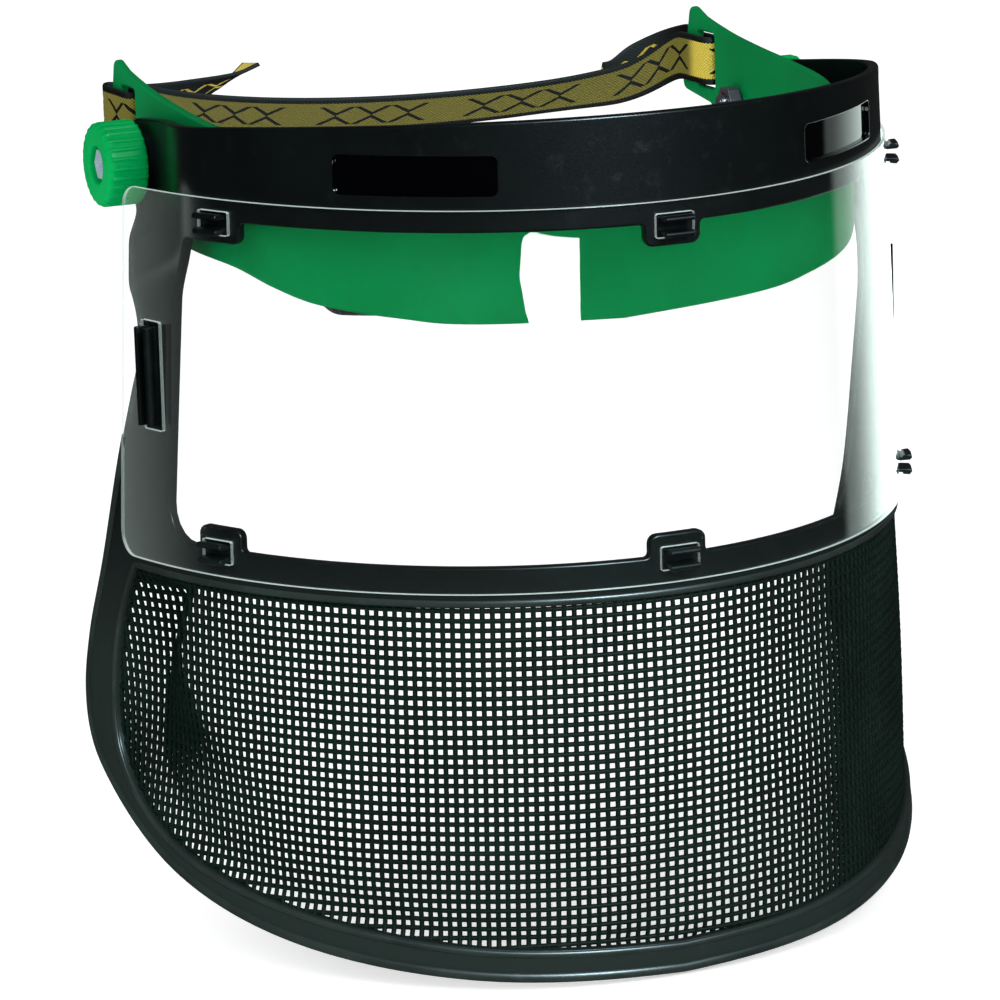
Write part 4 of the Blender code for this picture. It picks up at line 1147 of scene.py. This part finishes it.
def build_knob(label, side):
    """Grip turned from one closed profile: ribs round its side, a recess and a hexagon pocket."""
    near, far, radius, recess = 96.7, 108.2, KNOB_RADIUS, 5.2
    floor, pocket, round_edge = far - 2.3, 102.1, 1.8
    angles = full_turn(KNOB_RIBS * 8)
    hexed = (HEX_FLATS / 2.0 + 0.3) / np.cos(angles % (math.pi / 3.0) - math.pi / 6.0)
    # Each ring is (distance, radius, share of the ribs).
    profile = [(near, CLEAR_RADIUS, 0.0), (near, 8.0, 0.0), (near, radius - 1.0, 0.3)]
    profile += [(near + 0.12, radius - 0.45, 0.8), (near + 0.5, radius - 0.12, 1.0)]
    profile += [(near + 0.9, radius, 1.0)]
    profile += [(x, radius, 1.0) for x in np.linspace(near + 2.5, far - 2.6, 5)]
    profile += [(far - round_edge * (1.0 - math.sin(a)), radius - round_edge * (1.0 - math.cos(a)),
                 math.cos(a) ** 0.7) for a in np.radians([0, 12, 25, 38, 52, 66, 78])]
    profile += [(far - down, r, 0.0) for down, r in (
        (0.0, radius - 1.9), (0.0, 8.0), (0.0, recess + 0.9), (0.05, recess + 0.45),
        (0.2, recess + 0.15), (0.5, recess), (1.4, recess), (2.05, recess), (2.23, recess - 0.07),
        (2.3, recess - 0.25))]
    rows = [(x, r + rib_radius(angles, RIB_DEPTH) * ribs) for x, r, ribs in profile]
    rows += [(floor, hexed + 0.08), (floor - 0.1, hexed), (pocket + 0.1, hexed), (pocket, hexed - 0.1)]
    bore = np.full(len(angles), CLEAR_RADIUS)
    rows += [(pocket, bore + 0.05), (pocket - 0.1, bore)]
    rings = [world(axis_ring(side * x, r, angles)) for x, r in rows]
    made = grid_object(f"knob_{label}_grip", rings, True, True)
    made.data.set_sharp_from_angle(angle=math.radians(48.0))
    if side > 0:
        made.data.flip_normals()
    finished(made, f"knob_{label}", [KNOB_GREEN], [f"knob_{label}"])


def build_shank(label, side):
    """Threaded shank of a pivot bolt, from inside its head to its chamfered tip."""
    tip_x, head_x = 82.0, 102.9
    angles = full_turn(28)
    rows = []
    for x in np.arange(tip_x, head_x, 0.2):
        groove = np.abs(((x / THREAD_PITCH - angles / (2.0 * math.pi)) % 1.0) * 2.0 - 1.0) ** 1.5
        radius = (2.36 - 0.3 * (1.0 - groove)) * min(1.0, 0.72 + (x - tip_x) * 0.35)
        rows.append(world(axis_ring(side * x, radius, angles)))
    made = grid_object(f"bolt_shank_{label}", rows)
    cap_ends(made, len(angles))
    finished(made, f"knob_{label}", [DULL_ZINC])


def build_pivot(label, side):
    build_knob(label, side)
    build_shank(label, side)
    head = sheet(f"bolt_head_{label}", pivot_plane(side, 104.7), hexagon(HEX_FLATS), 4.6,
                 pockets=[(cross_outline(2.0, 0.55, 0.15), 1.5, 0)], edge=0.35, step=1.0, side_length=0.5)
    finished(head, f"knob_{label}", [ZINC], [f"pivot_bolt_{label}"])
    # piece, node, distance, outline, thickness, bore radius, edge, step, side length, body, looks
    rings = [
        ("nut", "pivot_nut", 86.0, hexagon(HEX_FLATS), 4.0, 2.45, 0.35, 1.0, 0.7,
         "headband", DULL_ZINC, "zinc"),
        ("washer_outer", "outer_washer", 95.95, circle_outline(0.0, 0.0, 7.5, 72), 0.9,
         CLEAR_RADIUS, 0.2, 1.5, 1.0, f"knob_{label}", ZINC, "zinc"),
        ("washer_friction", "friction_washer", 91.5, circle_outline(0.0, 0.0, 9.5, 72), 0.8,
         CLEAR_RADIUS, 0.2, 1.5, 1.0, "headband", NYLON, "washer"),
    ]
    for piece, node, distance, outline, thickness, bore, edge, step, length, body, look, slot in rings:
        made = sheet(f"{piece}_{label}", pivot_plane(side, distance), outline, thickness,
                     holes=[circle_outline(0.0, 0.0, bore, 32)], edge=edge, step=step, side_length=length)
        finished(made, body, [look], [f"{node}_{label}"])


# ---- room, light and camera ------------------------------------------------------------------

VIEW_TURN = math.radians(23.9)
VIEW_DROP = math.radians(12.848)
VIEW_ROLL = math.radians(1.855)
VIEW_DISTANCE = 1500.1
LENS_LENGTH = 193.19
LOOK_AT = np.array([0.0, -34.0, -85.5])
SHIFT_RIGHT, SHIFT_UP = -5.04, -14.63
WHITE = (1.0, 1.0, 1.0, 1.0)
BACKDROP = 1.15
SOFT_LIGHT = 0.62
SHEEN_LIGHT = 0.035
FLOOR_GLOW = 0.45
GLOSS_TINT = (0.84, 1.0, 0.94, 1.0)
GLOSS_DARK = 0.015
# Bright parts of the studio that mirror-like surfaces show: azimuth, elevation, start, full, level
GLOSS_LOBES = [
    (150.0, -10.0, 54.5, 50.5, 0.7), (150.0, -10.0, 50.0, 18.0, 2.4), (-158.0, -5.0, 50.0, 10.0, 0.62),
]
CARD_DISTANCE, CARD_GLOW = 0.45, 14.0


def toward(azimuth, elevation):
    """Way to a point of the room (azimuth 0 straight ahead, + to the wearer's left)."""
    a, e = math.radians(azimuth), math.radians(elevation)
    return Vector((math.sin(a) * math.cos(e), -math.cos(a) * math.cos(e), math.sin(e)))


def view_axes():
    sin_t, cos_t = math.sin(VIEW_TURN), math.cos(VIEW_TURN)
    sin_d, cos_d = math.sin(VIEW_DROP), math.cos(VIEW_DROP)
    ahead = np.array([sin_t * cos_d, cos_t * cos_d, -sin_d])
    right = np.array([cos_t, -sin_t, 0.0])
    up = np.array([sin_t * sin_d, cos_t * sin_d, cos_d])
    return ahead, right, up


def build_camera():
    ahead, right, up = view_axes()
    place = LOOK_AT - ahead * VIEW_DISTANCE + right * SHIFT_RIGHT + up * SHIFT_UP
    c, s = math.cos(VIEW_ROLL), math.sin(VIEW_ROLL)
    right, up = c * right - s * up, s * right + c * up
    data = bpy.data.cameras.new("camera")
    data.lens = LENS_LENGTH
    data.sensor_width = 36.0
    data.clip_end = 100.0
    camera = linked("camera", data)
    turn = Matrix(np.stack([right, up, -ahead], axis=-1).tolist())
    camera.matrix_world = Matrix.Translation(world(place)) @ turn.to_4x4()
    bpy.context.scene.camera = camera


def build_world():
    """White to the camera, soft white for matt surfaces, and a dark-fronted studio for gloss."""
    room = bpy.data.worlds.new("studio")
    room.use_nodes = True
    bpy.context.scene.world = room
    room.node_tree.nodes.clear()
    s = NodeTree(room.node_tree)
    paths = s.add("LightPath")
    where = s.add("TexCoord").outputs["Generated"]

    def background(strength, colour=WHITE):
        return s.add("Background", {"Color": colour, "Strength": strength}).outputs[0]

    def switch(ray, otherwise, then):
        return s.blend(paths.outputs[ray], otherwise, then)

    strength = GLOSS_DARK
    for azimuth, elevation, start, full, level in GLOSS_LOBES:
        lean = s.add("VectorMath", {0: where, 1: toward(azimuth, elevation)}, operation="DOT_PRODUCT")
        values = {"Value": lean.outputs["Value"], "From Min": math.cos(math.radians(start)),
                  "From Max": math.cos(math.radians(full)), "To Max": level}
        lobe = s.add("MapRange", values, interpolation_type="SMOOTHSTEP").outputs["Result"]
        strength = s.math("ADD", strength, lobe)
    light = switch("Is Glossy Ray", background(SOFT_LIGHT), background(SHEEN_LIGHT))
    light = switch("Is Singular Ray", light, background(strength, GLOSS_TINT))
    s.add("OutputWorld", {"Surface": switch("Is Camera Ray", light, background(BACKDROP))})


def build_floor():
    """Wide plain floor with a barely uneven, matt white finish."""
    size, cells = 12.0, 24
    steps = np.linspace(-size, size, cells + 1)
    rows = [[(x, y, -0.0004) for x in steps] for y in steps]
    floor = grid_object("floor", rows, False)
    s = Surface("white_paper")
    grain = s.noise(6.0, 4.0)
    s.set(Base_Color=s.mix(grain, (0.99, 0.99, 0.99, 1.0), (0.97, 0.975, 0.975, 1.0)), Roughness=0.9,
          Specular_IOR_Level=0.0)
    s.set(Emission_Color=WHITE, Emission_Strength=FLOOR_GLOW)
    floor.visible_glossy = False
    floor.data.materials.append(s.material)


def area_light(name, aim, azimuth, elevation, distance, width, height, power, colour=(1.0, 1.0, 1.0)):
    """Soft box that lights the aim point."""
    data = bpy.data.lights.new(name, "AREA")
    data.shape = "RECTANGLE"
    data.size, data.size_y = width, height
    data.energy = power
    data.color = colour
    light = linked(name, data)
    way = toward(azimuth, elevation)
    light.location = Vector(world(aim)) + way * distance
    light.rotation_euler = way.to_track_quat("Z", "Y").to_euler()
    light.visible_camera = False
    return light


def build_glare_card():
    """Bright card low in front that only shows as the reflected patch on the clear sheet."""
    patch = [(-39.5, -6.0), (-25.3, -8.5), (-25.3, -36.0), (-36.0, -37.0), (-39.0, -28.0), (-40.5, -18.0)]
    outline = rounded([(x, y, r) for (x, y), r in zip(patch, (3.0, 0.2, 0.2, 5.0, 8.0, 6.0))], 6)
    camera = bpy.context.scene.camera.matrix_world.translation
    eye = np.array(camera[:])
    verts = []
    for arc, z in outline:
        spot, normal = (v[0] for v in wrap(shell_place, [(arc, z)], 2.8))
        sight = unit(spot - eye)
        bounce = sight - 2.0 * np.dot(sight, normal) * normal
        verts.append(spot + bounce * CARD_DISTANCE)
    card = mesh_object("glare_card", verts, [tuple(range(len(verts)))], False)
    s = Surface("card_light")
    mirrored_ray = s.add("LightPath").outputs["Is Singular Ray"]
    glow = s.add("Emission", {"Strength": CARD_GLOW}).outputs[0]
    clear = s.add("BsdfTransparent").outputs[0]
    card.data.materials.append(s.only(s.blend(mirrored_ray, clear, glow)))
    card.visible_camera = card.visible_diffuse = card.visible_shadow = False


def build_lights():
    """A bluish box that only makes highlights, and three that make none."""
    sheen = area_light("sheen", [0.0, -60.0, 0.0], 3.0, 30.0, 1.6, 0.3, 0.5, 120.0, (0.66, 0.9, 1.0))
    sheen.visible_diffuse = False
    area_light("key", [0.0, -60.0, -60.0], 1.0, 32.0, 1.6, 0.5, 0.5, 4.0).visible_glossy = False
    area_light("side", [0.0, 0.0, -60.0], -75.0, 35.0, 1.8, 0.9, 0.9, 6.0).visible_glossy = False
    area_light("fill", [0.0, -40.0, -80.0], -12.0, 8.0, 2.2, 1.0, 0.8, 11.0).visible_glossy = False


build_frame()
build_beads()
build_pegs()
build_wires()
build_lens()
build_headband()
build_pad()
build_strap()
for label, side in (("left", 1.0), ("right", -1.0)):
    build_pivot(label, side)
build_world()
build_floor()
build_lights()
build_camera()
build_glare_card()
bpy.context.scene.view_settings.view_transform = "Standard"
